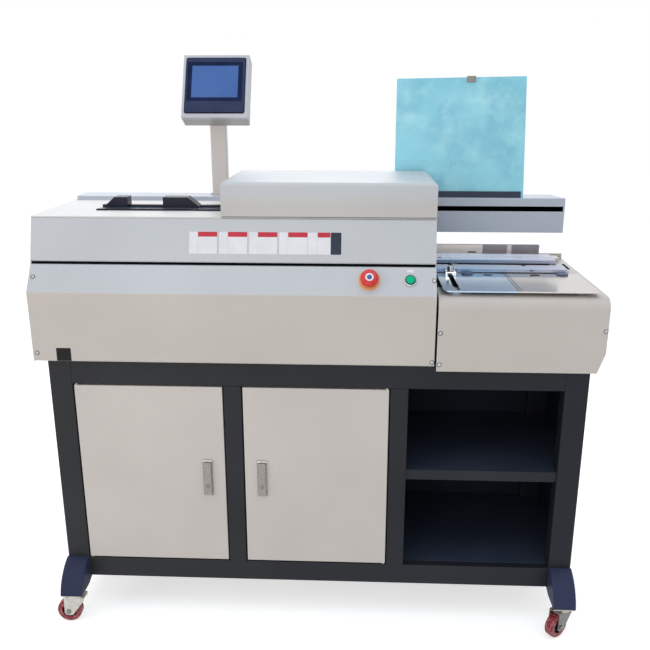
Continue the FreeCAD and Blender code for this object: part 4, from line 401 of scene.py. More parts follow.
# ---- shaping helpers ----
def whole(node):
    """Merged copy of a CAD node with its flat faces whole."""
    bm = bmesh.new()
    bm.from_mesh(frame["nodes"][node].data)
    bmesh.ops.remove_doubles(bm, verts=bm.verts, dist=MERGE)
    bmesh.ops.dissolve_limit(bm, angle_limit=FLAT, verts=bm.verts, edges=bm.edges)
    return bm


def shells(bm):
    """Face numbers of each closed shell."""
    bm.faces.ensure_lookup_table()
    seen, found = set(), []
    for start in bm.faces:
        if start.index in seen:
            continue
        shell, waiting = {start.index}, [start]
        while waiting:
            for edge in waiting.pop().edges:
                for other in edge.link_faces if len(edge.link_faces) == 2 else ():
                    if other.index not in shell:
                        shell.add(other.index)
                        waiting.append(other)
        seen |= shell
        found.append(shell)
    return found


def solids(node):
    """The node's separate solids as merged copies."""
    source = whole(node)
    parts = []
    for shell in shells(source):
        part = source.copy()
        spare = [face for face in part.faces if face.index not in shell]
        bmesh.ops.delete(part, geom=spare, context="FACES")
        parts.append(part)
    source.free()
    return parts


def span(bm):
    """Lowest and highest corner of a mesh."""
    points = [vert.co for vert in bm.verts]
    return [Vector([furthest(point[axis] for point in points) for axis in range(3)])
            for furthest in (min, max)]


def stored(name, bm):
    """The mesh as stored data."""
    mesh = bpy.data.meshes.new(name)
    bm.to_mesh(mesh)
    bm.free()
    return mesh


def shown(name, data):
    """New object in the scene."""
    made = bpy.data.objects.new(name, data)
    SCENE.collection.objects.link(made)
    return made


def joined(parts):
    """Several meshes as one."""
    first = bmesh.new()
    for part in parts:
        mesh = stored("part", part)
        first.from_mesh(mesh)
        bpy.data.meshes.remove(mesh)
    return first


def round_edges(bm, width, segments=3, pick=None):
    """Rounds the outward corners that pick accepts."""
    edges = [edge for edge in bm.edges
             if edge.is_manifold and edge.is_convex and edge.calc_face_angle() > CORNER
             and (pick is None or pick(edge))]
    bmesh.ops.bevel(bm, geom=edges, offset=width, offset_type="OFFSET", segments=segments, profile=0.5,
                    affect="EDGES", clamp_overlap=True, material=-1)
    return bm


def extent(bm):
    """Length of a mesh from corner to corner."""
    low, high = span(bm)
    return (high - low).length


def foremost(parts):
    """The part that stands out furthest to the front, and the others."""
    first = min(parts, key=lambda part: span(part)[0].y)
    return first, [part for part in parts if part is not first]


def longer_than(length):
    """Picks the edges over a length."""
    return lambda edge: edge.calc_length() > length


def leaning_face(node, height=None):
    """Matrix that stands a drawing on the node's leaning front face.

    The drawing's zero is at x = 0 and at the height or, with none, the face's lower edge.
    """
    bm = whole(node)
    leaning = [face for face in bm.faces if face.normal.y < -0.3 and face.normal.z > 0.1]
    face = max(leaning, key=lambda each: each.calc_area())
    out = face.normal.copy()
    point = min(face.verts, key=lambda vert: vert.co.z).co.copy()
    bm.free()
    up = out.cross(X).normalized()
    if height is not None:
        point += up * ((height - point.z) / up.z)
    point.x = 0
    return stood(point, X, up)


def upright(edge):
    """Picks the edges along Z."""
    return abs((edge.verts[1].co - edge.verts[0].co).normalized().z) > 0.99


def block(low, high, corner=0, edge=0):
    """Box with its upright corners rounded, then its other edges."""
    bm = bmesh.new()
    bmesh.ops.create_cube(bm, size=1)
    low, high = Vector(low), Vector(high)
    bmesh.ops.scale(bm, vec=high - low, verts=bm.verts)
    bmesh.ops.translate(bm, vec=(low + high) / 2, verts=bm.verts)
    if corner > 0:
        round_edges(bm, corner, 4, upright)
    if edge > 0:
        round_edges(bm, edge, 2)
    return bm


def turned(profile, steps):
    """Solid turned about Z from (radius, height) in millimetres, or a ring if it starts off the axis."""
    bm = bmesh.new()
    verts = [bm.verts.new((radius * MM, 0, height * MM)) for radius, height in profile]
    pairs = list(zip(verts, verts[1:]))
    if profile[0][0] > 0:
        pairs.append((verts[-1], verts[0]))
    edges = [bm.edges.new(pair) for pair in pairs]
    bmesh.ops.spin(bm, geom=verts + edges, cent=(0, 0, 0), axis=(0, 0, 1), angle=math.tau, steps=steps,
                   use_merge=True, use_duplicate=False)
    bmesh.ops.remove_doubles(bm, verts=bm.verts, dist=MERGE)
    bmesh.ops.recalc_face_normals(bm, faces=bm.faces)
    return bm


def stood(origin, right, up):
    """Matrix that stands a drawing in X and Y on a face; its Z points out of the face."""
    out = right.cross(up)
    return Matrix.Translation(origin) @ Matrix((right, up, out)).transposed().to_4x4()


def facing(origin, axis):
    """Matrix that turns a part's Z to the axis and moves it to the origin."""
    return Matrix.Translation(origin) @ Z.rotation_difference(axis).to_matrix().to_4x4()


def moved(bm, matrix):
    """The mesh itself, moved by the matrix."""
    bmesh.ops.transform(bm, matrix=matrix, verts=bm.verts)
    return bm


def sink(bm, depth, inside):
    """Presses the top faces whose middles are inside down by the depth."""
    top = span(bm)[1].z
    faces = [face for face in bm.faces
             if face.normal.z > 0.99 and abs(face.calc_center_median().z - top) < MERGE
             and inside(face.calc_center_median())]
    pressed = bmesh.ops.extrude_face_region(bm, geom=faces)["geom"]
    bmesh.ops.delete(bm, geom=faces, context="FACES_ONLY")
    verts = [item for item in pressed if isinstance(item, bmesh.types.BMVert)]
    bmesh.ops.translate(bm, vec=(0, 0, -depth), verts=verts)
    return bm


def scored(bm, axis, places):
    """Cuts the mesh across an axis at each place, without parting it."""
    for place in places:
        bmesh.ops.bisect_plane(bm, geom=bm.verts[:] + bm.edges[:] + bm.faces[:], plane_co=axis * place,
                               plane_no=axis, dist=MERGE / 10)
    return bm


def piece(name, bm, finish, body="machine", replaced=()):
    """Finished piece: its object at the origin and its place in the mesh."""
    mesh = stored(name, bm)
    mesh.shade_smooth()
    mesh.set_sharp_from_angle(angle=SHARP)
    mesh.materials.append(finish.material)
    made = shown(name, mesh)
    shading = made.modifiers.new("shading", "WEIGHTED_NORMAL")
    shading.keep_sharp = True
    if replaced:
        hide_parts(*replaced)
    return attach(made, body)


def rounded(name, node, finish, width, segments, pick=None, body="machine"):
    """Piece that takes a CAD node's place, its corners rounded."""
    piece(name, round_edges(whole(node), width, segments, pick), finish, body, [node])


def coat(finish, *nodes):
    """Puts a finish on CAD nodes that stay as they are."""
    for node in nodes:
        slots = frame["nodes"][node].data.materials
        slots.clear()
        slots.append(finish.material)


# ---- cabinet ----
TUBE_ROUND = 2.2 * MM
DOOR_ROUND = 2 * MM
PADDLE_STEP = 0.9 * MM  # the lock barrel stands out of the paddle by this
LOCK_SHARE = 0.28  # height of the barrel's axis as a share of the paddle's height


def cabinet_frame():
    """Posts and rails of box section with their long edges rounded."""
    for part in ("posts", "rails"):
        rounded(part + "_coated", "frame_" + part, FRAME_PAINT, TUBE_ROUND, 3, longer_than(0.2))


def cabinet_door(side):
    """Pan door with the outline of its face rounded."""
    door, front = side + "_door", DOOR_FACE + MERGE

    def outline(edge):
        return edge.calc_length() > 0.2 and all(vert.co.y < front for vert in edge.verts)

    rounded(door + "_pan", door, DOOR_PAINT, DOOR_ROUND, 4, outline, door)


def handle(side):
    """Lift-and-turn handle: base plate with a chrome strip along its top edge as a painted highlight,
    paddle, lock barrel and latch cam.
    """
    door, latch, fittings = side + "_door", side + "_latch", side + "_door_fittings"
    base, bushes = foremost(solids(fittings))
    low, high = span(base)
    piece(side + "_handle_base", round_edges(base, 0.8 * MM, 2), HANDLE_METAL, door, [fittings])
    # Painted highlight: the chrome strip stands in for the light the plate's top edge catches.
    edge = block((low.x + MM, low.y - 0.2 * MM, high.z - 3.6 * MM),
                 (high.x - MM, low.y + 0.1 * MM, high.z - MM))
    piece(side + "_handle_highlight_strip", edge, CHROME, door)
    piece(side + "_hinge_bushes", joined(bushes), ZINC, door)
    lever, rest = foremost(solids(latch))
    low, high = span(lever)
    lever.free()
    front = low.y + PADDLE_STEP
    foot = Vector(((low.x + high.x) / 2, high.y, low.z))
    paddle = block(((low.x - high.x) / 2, 0, 0), ((high.x - low.x) / 2, high.z - low.z, high.y - front),
                   3 * MM, 0.5 * MM)
    piece(side + "_paddle", moved(paddle, stood(foot, X, Z)), HANDLE_METAL, latch, [latch])
    piece(side + "_latch_cam", joined(rest), ZINC, latch)
    lock = Vector((foot.x, front, low.z + LOCK_SHARE * (high.z - low.z)))
    piece(side + "_lock_barrel", moved(lock_barrel(), stood(lock, X, Z)), DULL_AND_SHADED_ZINC, latch)


def lock_barrel():
    """Face of the lock with its keyway."""
    half, reach = 0.7 * MM, 2.6 * MM
    barrel = turned([(0, 0), (5.4, 0), (5.4, 0.5), (4.9, 0.9), (0, 0.9)], 28)
    scored(barrel, X, (-half, half))
    scored(barrel, Y, (-reach, reach))
    return sink(barrel, 0.6 * MM, lambda at: abs(at.x) < half and abs(at.y) < reach)


def cabinet():
    """Frame, sheets, shelf trays and the two doors."""
    cabinet_frame()
    coat(LINING, "cabinet_panels")
    rounded("shelf_trays", "shelves", SHELF_PAINT, 0.3 * MM, 1)
    for side in ("left", "right"):
        cabinet_door(side)
        handle(side)
    coat(ZINC, "door_pins")


# ---- feet and casters ----
CASTERS = ("front_left", "front_right", "rear_left", "rear_right")
FOOT_HEIGHT = 60 * MM  # only the box feet are higher than this
# Sections as (radius, distance along the axle) in millimetres.
AXLE_REACH = 15.5
HEXAGON = ((0, 0), (6.2, 0), (6.4, 0.3), (6.4, 2.2), (5.5, 2.8), (0, 2.8))
SHOULDER = ((26.5, 11), (28, 10.7), (29.3, 9.8), (30.2, 8.5), (30.5, 7), (30.5, 3.6), (30.5, 2.6),
            (29.8, 2.1), (30.5, 1.6))
TREAD = ((17.5, 9.6), (18.5, 11), *SHOULDER, *((r, -z) for r, z in reversed(SHOULDER)), (18.5, -11),
         (17.5, -9.6))
CORE = ((4.05, -11), (8.5, -11), (10.5, -10.4), (11.5, -5.5), (16.3, -5.5), (17.5, -9.4), (17.5, 9.4),
        (16.3, 5.5), (11.5, 5.5), (10.5, 10.4), (8.5, 11), (4.05, 11))


def feet():
    """Painted box feet, and the zinc mounting plates."""
    boxes, mounts = [], []
    for part in solids("foot_brackets"):
        low, high = span(part)
        if high.z - low.z > FOOT_HEIGHT:
            boxes.append(round_edges(part, 2 * MM, 3))
        else:
            mounts.append(round_edges(part, 0.6 * MM, 2))
    piece("feet_coated", joined(boxes), FOOT_PAINT, "machine", ["foot_brackets"])
    piece("caster_mounts", joined(mounts), ZINC)


def axle_of(name):
    """Middle of the wheel and the direction of its axle."""
    joint = next(joint for joint in frame["joints"] if joint["child"] == "caster_wheel_" + name)
    return Vector(joint["pos_m"]), Vector(joint["axis"]).normalized()


def axle_bolt():
    """Axle with a hexagon head at one end and a nut at the other."""
    parts = [turned([(0, -AXLE_REACH), (4, -AXLE_REACH), (4, AXLE_REACH), (0, AXLE_REACH)], 24)]
    for side in (-1, 1):
        parts.append(moved(turned(HEXAGON, 6), facing(Z * side * AXLE_REACH * MM, Z * side)))
    return joined(parts)


def caster(name):
    """Fork, axle and the wheel's tread and core; the front right fork gets the darker zinc as painted
    shade.
    """
    fork, wheel = "caster_fork_" + name, "caster_wheel_" + name
    place = facing(*axle_of(name))
    plates = max(solids(fork), key=extent)
    # Painted shade: the darker zinc on the front right fork stands in for the shade on it.
    plating = DULL_AND_SHADED_ZINC if name == "front_right" else ZINC
    piece("fork_" + name, round_edges(plates, 0.7 * MM, 2), plating, fork, [fork])
    piece("axle_" + name, moved(axle_bolt(), place), DULL_AND_SHADED_ZINC, fork)
    piece("tread_" + name, moved(turned(TREAD, 56), place), WHEEL_RUBBER, wheel, [wheel])
    piece("core_" + name, moved(turned(CORE, 40), place), BLACK_PLASTIC, wheel)


# ---- housing ----
BEAM_WALL = 2.5 * MM
BEAM_LEAN = 20 / 79  # fall of the slanted end for each step to the rear
BEAM_SLOT = mm(21, 34)  # from the beam's top down to the slot's two edges
SHADE_START, SHADE_END, SHADE_THICK = mm(24, 3.2, 0.3)  # from the beam's left and its slanted end
HAIR = 0.1 * MM  # gap between pieces that lie close together
SHADE_LEFT, SHADE_FRONT = mm(3, 5.5), mm(6.4, 9)  # both edges of each strip, from the hood's outside
SHADE_REACH = 200 * MM
SEAM_INSET, SEAM_DEPTHS = 2 * MM, mm(3, 6)
SCREW_RADIUS, SCREW_HEIGHT = 4.1, 2.5  # in millimetres
UPRIGHT_HEIGHT, UPRIGHT_DEPTH = mm(8.9, 3)  # a leaning head is lower and deeper than these
WASHER = ((4.2, 0), (5.1, 0), (5.1, 0.6), (4.2, 0.6))


def housing():
    """Covers, deck, hood, beam and the plates that carry them."""
    coat(BODY_PAINT, "lower_cover", "upper_cover", "right_cover")
    coat(COVER_PAINT, "left_end_cover", "rear_cover")
    coat(DECK_PAINT, "deck")
    coat(HOOD_PAINT, "hood")
    coat(FRAME_PAINT, "bed_plate", "side_plates")
    coat(ZINC, "hood_riser")
    guide_beam()
    hood_gap_shade()
    seam_shade_strip()
    coat(SHAFT_STEEL, "guide_shafts")


def guide_beam():
    """Painted beam, with a black lining around its slot and a black cap at its slanted end: painted shade
    that keeps its inside dark.
    """
    rounded("beam_coated", "guide_beam", BEAM_PAINT, 2 * MM, 3, longer_than(0.25))
    low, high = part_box("guide_beam")
    inset = BEAM_WALL + HAIR
    front, rear = low.y + inset, high.y - inset
    bottom, top = low.z + inset, high.z - inset
    slot_top, slot_bottom = [high.z - drop for drop in BEAM_SLOT]
    section = [(front, slot_top), (front, top), (rear, top), (rear, bottom), (front, bottom),
               (front, slot_bottom)]
    shade_lining = bmesh.new()
    verts = [shade_lining.verts.new((low.x + SHADE_START, y, z)) for y, z in section]
    edges = [shade_lining.edges.new(pair) for pair in zip(verts, verts[1:])]
    drawn = bmesh.ops.extrude_edge_only(shade_lining, edges=edges)["geom"]
    end = high.x - SHADE_END
    for vert in [item for item in drawn if isinstance(item, bmesh.types.BMVert)]:
        vert.co.x = end - HAIR - (vert.co.y - low.y) * BEAM_LEAN
    bmesh.ops.recalc_face_normals(shade_lining, faces=shade_lining.faces)
    bmesh.ops.solidify(shade_lining, geom=shade_lining.faces[:], thickness=SHADE_THICK)
    bmesh.ops.recalc_face_normals(shade_lining, faces=shade_lining.faces)
    cap = block((end, front, bottom), (end + SHADE_THICK, rear, top))
    for vert in cap.verts:
        vert.co.x -= (vert.co.y - low.y) * BEAM_LEAN
    piece("beam_felt", joined([shade_lining, cap]), SHADE_BLACK)


def hood_gap_shade():
    """Black strips on the deck under the hood's front and left edges, painted shade that keeps the gap
    under the hood dark.
    """
    low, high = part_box("hood")
    seat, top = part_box("deck")[1].z, low.z - 2 * HAIR
    left, right = low.x + SHADE_LEFT[0], high.x - SHADE_LEFT[0]
    near, far = [low.y + depth for depth in SHADE_FRONT]
    front = block((left, near, seat), (right, far, top))
    side = block((left, far + 2 * HAIR, seat), (low.x + SHADE_LEFT[1], low.y + SHADE_REACH, top))
    piece("hood_gap_shade", joined([front, side]), BLACK_PLASTIC)


def seam_shade_strip():
    """Black strip behind the seam between the two front covers, painted shade that keeps the gap dark."""
    low, high = UPPER
    near, far = SEAM_DEPTHS
    seam = block((low.x + SEAM_INSET, low.y + near, LOWER[1].z + HAIR),
                 (high.x - SEAM_INSET, low.y + far, low.z - HAIR))
    piece("seam_shade_strip", seam, SHADE_BLACK)


def cross_head(radius, height):
    """Pan-head screw with a cross recess, on z = 0; sizes in millimetres."""
    bm = turned([(0, 0), (radius, 0), (radius, height * 0.35), (radius * 0.82, height * 0.8),
                 (radius * 0.5, height), (0, height)], 24)
    arm, reach = 0.14 * radius * MM, 0.46 * radius * MM
    for axis in (X, Y):
        scored(bm, axis, (-reach, -arm, arm, reach))

    def recess(at):
        return min(abs(at.x), abs(at.y)) < arm and max(abs(at.x), abs(at.y)) < reach

    return sink(bm, height * 0.6 * MM, recess)


def screws():
    """Cross-head screws and washers on the covers; those on the control strip lean with it."""
    heads, washers = [], []
    strip_out = leaning_face("lower_cover", CONTROL_HEIGHT).to_3x3() @ Z
    for part in solids("cover_screws"):
        low, high = span(part)
        leaning = high.z - low.z < UPRIGHT_HEIGHT and high.y - low.y > UPRIGHT_DEPTH
        out = strip_out if leaning else -Y
        seat = facing((low + high) / 2 - out * SCREW_HEIGHT / 2 * MM, out)
        heads.append(moved(cross_head(SCREW_RADIUS, SCREW_HEIGHT), seat))
        washers.append(moved(turned(WASHER, 24), seat))
        part.free()
    piece("cover_screw_heads", joined(heads), SCREW_METAL, "machine", ["cover_screws"])
    piece("cover_screw_washers", joined(washers), BLACK_METAL)


CARD_BASE = 930 * MM  # height of the cards' lower edges
CARD_HEIGHT, BAND_HEIGHT = mm(49.5, 11)
CARD_THICK, BAND_THICK = mm(0.25, 0.12)
CARD_GAP, CARD_PITCH = mm(0.6, 68)
CARD_PAIR = mm(20, 44)  # pitch of a narrow card, and of the wide one beside it
LAST_PAIR = mm(-17.5, 22, 29)  # start of the last pair and its two pitches
CARD_LEFT = -286 * MM
NAVY_ENDS = mm(34, 57.5)
PATCH = (mm(-595, 685.5), mm(-561, 716.5))


def cards():
    """Blank cards, in pairs of a narrow and a red-headed wide one, a navy card and a black patch."""
    pairs = [(CARD_LEFT + CARD_PITCH * index, *CARD_PAIR) for index in range(4)] + [LAST_PAIR]
    whites, reds = [], []
    for start, narrow, wide in pairs:
        split = start + narrow
        end = split + wide - CARD_GAP
        whites.append(block((start, 0, 0), (split - CARD_GAP, CARD_HEIGHT, CARD_THICK), MM))
        whites.append(block((split, 0, 0), (end, CARD_HEIGHT, CARD_THICK), MM))
        reds.append(block((split, CARD_HEIGHT - BAND_HEIGHT, CARD_THICK),
                          (end, CARD_HEIGHT, CARD_THICK + BAND_THICK), 0.8 * MM))
    place = leaning_face("upper_cover", CARD_BASE)
    piece("blank_cards", moved(joined(whites), place), CARD_WHITE)
    piece("card_bands", moved(joined(reds), place), CARD_RED)
    left, right = NAVY_ENDS
    navy = block((left, 0, 0), (right, CARD_HEIGHT, CARD_THICK), MM)
    piece("navy_card", moved(navy, place), CARD_NAVY)
    low, high = PATCH
    dark = block((*low, 0), (*high, CARD_THICK), 0.8 * MM)
    piece("black_patch", moved(dark, stood(Vector((0, FRONT, 0)), X, Z)), CARD_BLACK)


# ---- controls ----
# Sections as (radius, distance out of the strip) in millimetres.
ESTOP_BASE = ((8.2, -8), (8.2, 2.4), (12, 3), (22.4, 3), (23.6, 2.4), (24, 1.2), (24, 0), (11, 0), (11, -8))
ESTOP_BODY = ((8.3, -40), (8.3, -8), (11, -8), (11, -40))
START_BEZEL = ((9.8, -6), (9.8, 2.6), (10.4, 3.4), (11.4, 3.6), (11.6, 4), (12.6, 4), (13.8, 3.2),
               (14.5, 1.6), (14.5, 0), (11, 0), (11, -6))
START_RING = ((9.7, 2.6), (9.7, 4.8), (11.6, 4.6), (12.1, 4.1), (11.4, 3.7))
START_BODY = ((9.8, -40), (9.8, -6), (11, -6), (11, -40))
START_LENS = ((0, -3), (9.5, -3), (9.5, 5.6), (8.9, 6.7), (7.2, 7.2), (0, 7.5))
HEAD_LIFT = 8.3  # the mushroom's underside above the strip
ESTOP_HEAD = ((0, -10.9), (8, -10.9), (8, 0), (17.5, 0), (19.6, 0.8), (20, 2.4), (20, 6), (19.2, 8.8),
              (17, 10.9), (14, 11.8), (10.6, 12), (10, 11.2), (0, 11.2))
CAP_RING = ((5.6, 11.2), (9.4, 11.2), (9.4, 11.7), (8.6, 12), (6.4, 12), (5.6, 11.7))
CAP = ((0, 11.2), (5.2, 11.2), (5.2, 11.5), (4.8, 11.8), (0, 11.8))


def on_strip(node):
    """Face of the control strip at the buttons' height, in line with the node."""
    low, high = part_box(node)
    return Matrix.Translation(X * (low.x + high.x) / 2) @ leaning_face("lower_cover", CONTROL_HEIGHT)


def controls():
    """Emergency stop and start button on the control strip."""
    stop, start = on_strip("estop_head"), on_strip("start_cap")
    head = stop @ Matrix.Translation(Z * HEAD_LIFT * MM)
    rows = (("estop_base", stop, ESTOP_BASE, 56, YELLOW_PLASTIC, "machine", ["button_bases"]),
            ("estop_body", stop, ESTOP_BODY, 32, BLACK_PLASTIC),
            ("estop_mushroom", head, ESTOP_HEAD, 56, RED_PLASTIC, "estop_head", ["estop_head"]),
            ("estop_cap_ring", head, CAP_RING, 40, CARD_WHITE, "estop_head"),
            ("estop_cap", head, CAP, 32, CAP_BLUE, "estop_head"),
            ("start_bezel", start, START_BEZEL, 48, SHAFT_STEEL),
            ("start_ring", start, START_RING, 48, BLACK_PLASTIC),
            ("start_body", start, START_BODY, 32, BLACK_PLASTIC),
            ("start_lens", start, START_LENS, 40, GREEN_PLASTIC, "start_cap", ["start_cap"]))
    for name, place, section, steps, *rest in rows:
        piece(name, moved(turned(section, steps), place), *rest)
    plate = block(mm(-7.7, 18.6, 0), mm(7.7, 25.4, 0.5), MM, 0.15 * MM)
    piece("start_plate", moved(plate, start), CARD_WHITE)


# ---- control panel ----
# Left, right, lower and upper margin of the window and of the glass in the bezel.
WINDOW_RIM = mm(5.4, 7.2, 31.8, 12.8)
GLASS_RIM = mm(17, 19, 41.9, 23.1)
BEZEL_RIM, BODY_MARGIN, PANE_GAP = mm(1.8, 4.3, 0.3)
# Depths under the bezel's face.
EDGE_DROP, BEZEL_DEPTH, WINDOW_DEPTH = mm(1.2, 2, 0.9)
PANE_BACK, PANE_FACE = mm(1, 0.7)
GLASS_BACK, GLASS_FACE = mm(0.9, 0.5)


def control_panel():
    """Case and post, and a bezel with a window and a blank display behind glass."""
    rounded("panel_case", "panel_box", PANEL_PAINT, 3 * MM, 4, longer_than(0.03))
    rounded("post_coated", "panel_post", POST_PAINT, 2 * MM, 3, longer_than(0.1))
    place = leaning_face("panel_box")
    low, high = span(moved(whole("panel_screen"), place.inverted()))
    half, face = BEZEL_RIM / 2, high.z

    def slab(rim, back, front, corner=0, edge=0):
        left, right, bottom, top = rim
        return block((low.x + left, low.y + bottom, back), (high.x - right, high.y - top, front),
                     corner, edge)

    edge = slab((0, 0, 0, 0), 0, face - EDGE_DROP, 5 * MM, 0.6 * MM)
    piece("bezel_edge", moved(edge, place), BEZEL_EDGE, "machine", ["panel_screen"])
    bezel = slab([BEZEL_RIM] * 4, face - BEZEL_DEPTH, face, 4 * MM)
    left, right = low.x + WINDOW_RIM[0], high.x - WINDOW_RIM[1]
    bottom, top = low.y + WINDOW_RIM[2], high.y - WINDOW_RIM[3]
    scored(bezel, X, (left - half, left, right, right + half))
    scored(bezel, Y, (bottom - half, bottom, top, top + half))
    sink(bezel, WINDOW_DEPTH, lambda at: left < at.x < right and bottom < at.y < top)
    piece("bezel_face", moved(bezel, place), BEZEL_PLASTIC)
    pane = slab([side + PANE_GAP for side in WINDOW_RIM], face - PANE_BACK, face - PANE_FACE)
    piece("screen_window", moved(pane, place), WINDOW_PLASTIC)
    glass = slab(GLASS_RIM, face - GLASS_BACK, face - GLASS_FACE)
    piece("screen_glass", moved(glass, place), DISPLAY)
    back = slab([BODY_MARGIN] * 4, low.z, 0, 2 * MM)
    piece("screen_body", moved(back, place), BLACK_PLASTIC)


# ---- book board and stops ----
TAPE_REACH = 47 * MM  # rear edge of the tape from the tray's front
TAPE_BOTTOM, TAPE_TOP = mm(2.02, 2.3)  # above the tray's underside


def board_and_stops():
    """Film-covered board with its foot strip and clip, and the tray with the two wedge stops."""
    board, strip, clip = sorted(solids("backboard"), key=extent, reverse=True)
    piece("board_sheet", round_edges(board, 0.5 * MM, 2), FILM, "machine", ["backboard"])
    piece("board_strip", round_edges(strip, 0.6 * MM, 2), SLATE_STRIP)
    piece("board_clip", round_edges(clip, MM, 3), DULL_AND_SHADED_ZINC)
    coat(BLACK_METAL, "stop_track")
    low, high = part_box("stop_track")
    tape = block((low.x + 2 * MM, low.y + 2 * MM, low.z + TAPE_BOTTOM),
                 (high.x, low.y + TAPE_REACH, low.z + TAPE_TOP))
    piece("track_tape", tape, TAPE)
    for stop in ("left_stop", "right_stop"):
        rounded(stop + "_wedge", stop, STOP_PLASTIC, 0.9 * MM, 3, body=stop)


# ---- cover table ----
SHEET_LIMIT, THUMB_WIDTH, THUMB_HEIGHT = mm(3.2, 30, 6)  # upper limits that tell the table's solids apart
THUMB_KNOB, GUIDE_KNOB = (14, 4), (9, 12)  # radius and height in millimetres
STEM_RADIUS = 3.3
# Places on the table's top and the nipping plates, in millimetres.
TABLE_SLOTS = (((397, -48), (420, -35)), ((510, -46), (533, -33)), ((617, 30), (624, 96)))
JAW_SLOTS = (((302, 104), (312, 116)), ((320, 14), (330, 26)), ((500, 14), (510, 26)))
JAW_CLIPS = (((330, 124), (335, 99)), ((511, 130), (516, 105)))
CLIP_WIDTH = 3.4
JAW_TABS = (331, 514)
TAB_SIZE, TAB_GAP, TAB_DROP = mm(7, 0.2, 4.4), 0.3 * MM, 7 * MM
JOINT_REAR, JOINT_FRONT, JOINT_LEAN = -21, 8, 3.4  # front from the table's edge; lean to the right there
JOINT_STRIPS, JOINT_WIDTH = (0, 7), 2
JOINT_HEAD, HEAD_WIDTH = ((433, -22), (456, -22)), 4
INLAY_HEIGHT, STRIP_HEIGHT = mm(0.12, 0.08)
SPLASH_RIGHT, SPLASH_HEIGHT = mm(586.5, 25.5)
SPLASH_SLOT = (mm(394, 3.4), mm(417, 6.8))  # x, and height above the table


def knurled_knob(radius, height, steps=36):
    """Knob with a knurled rim and a dished top, on z = 0; sizes in millimetres."""
    bm = turned([(0, 0), (radius * 0.94, 0), (radius, radius * 0.04), (radius, height - radius * 0.08),
                 (radius * 0.93, height), (radius * 0.72, height), (radius * 0.66, height - 0.5),
                 (0, height - 0.5)], steps)
    rim = [face for face in bm.faces if abs(face.normal.z) < 0.1]
    bmesh.ops.inset_individual(bm, faces=rim, thickness=0.25 * MM, depth=-0.35 * MM)
    return bm


def cover_table():
    """Table sheets on their stands, with thumb screws, nipping plates, platform and side guide."""
    plates, thumbs, stands = [], [], []
    for part in solids("table_plate"):
        low, high = span(part)
        if high.z - low.z < SHEET_LIMIT:
            plates.append(round_edges(part, 0.6 * MM, 2))
        elif high.x - low.x < THUMB_WIDTH and high.z - low.z < THUMB_HEIGHT:
            thumbs.append((low + high) / 2)
            part.free()
        else:
            stands.append(round_edges(part, 0.5 * MM, 1))
    piece("table_sheets", joined(plates), TABLE_STEEL, "machine", ["table_plate"])
    piece("table_stands", joined(stands), CAST)
    table_marks()
    splash_plate()
    knobs = [moved(knurled_knob(*THUMB_KNOB), Matrix.Translation((at.x, at.y, TABLE_TOP))) for at in thumbs]
    piece("thumb_screws", joined(knobs), GUIDE_BLUE)
    coat(NIP_STEEL, "nip_jaw_front", "nip_jaw_rear")
    coat(ALUMINIUM, "cover_platform")
    side_guide()


def side_guide():
    """Bright guide block with its knurled knob and the knob's stem."""
    rounded("guide_block", "side_guide", CHROME, 0.4 * MM, 2, body="side_guide")
    low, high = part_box("guide_knob")
    knob = knurled_knob(*GUIDE_KNOB, 28)
    seat = high.z - GUIDE_KNOB[1] * MM
    foot = (low.z - seat) / MM
    stem = turned([(0, foot), (STEM_RADIUS, foot), (STEM_RADIUS, 0), (0, 0)], 20)
    place = Matrix.Translation(((low.x + high.x) / 2, (low.y + high.y) / 2, seat))
    piece("guide_knob_grip", moved(joined([knob, stem]), place), SHAFT_STEEL, "guide_knob", ["guide_knob"])


def mark(low, high, z):
    """Thin oblong inlay on a flat top, between two corners in millimetres."""
    depth = (high[1] - low[1]) * MM
    return block((*mm(*low), z), (*mm(*high), z + INLAY_HEIGHT), 0.45 * depth)


def scribed(start, end, z, width):
    """Thin strip on a flat top, from one point in millimetres to another."""
    run = Vector((*mm(end[0] - start[0], end[1] - start[1]), 0))
    line = block((0, -width / 2 * MM, 0), (run.length, width / 2 * MM, STRIP_HEIGHT))
    turn = X.rotation_difference(run).to_matrix().to_4x4()
    return moved(line, Matrix.Translation((*mm(*start), z)) @ turn)


def table_marks():
    """Slots and clips on the table and the nipping plates, and the joint between the sheets."""
    # Painted shade: the slots are thin black inlays that stand in for the shade inside them.
    slots = [mark(low, high, TABLE_TOP) for low, high in TABLE_SLOTS]
    slots += [mark(low, high, NIP_TOP) for low, high in JAW_SLOTS]
    piece("table_slots", joined(slots), SHADE_BLACK)
    clips = [scribed(start, end, NIP_TOP, CLIP_WIDTH) for start, end in JAW_CLIPS]
    jaw_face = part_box("nip_jaw_front")[0].y
    for x in JAW_TABS:
        low = Vector((x * MM, jaw_face - TAB_GAP, NIP_TOP - TAB_DROP))
        clips.append(block(low, low + Vector(TAB_SIZE)))
    piece("jaw_clips", joined(clips), GUIDE_BLUE)
    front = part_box("table_plate")[0].y / MM + JOINT_FRONT
    joints = []
    for shift in JOINT_STRIPS:
        start = SHEET_JOINT / MM + shift
        joints.append(scribed((start, JOINT_REAR), (start + JOINT_LEAN, front), TABLE_TOP, JOINT_WIDTH))
    joints.append(scribed(*JOINT_HEAD, TABLE_TOP, HEAD_WIDTH))
    piece("sheet_joint", joined(joints), SLATE_STRIP)


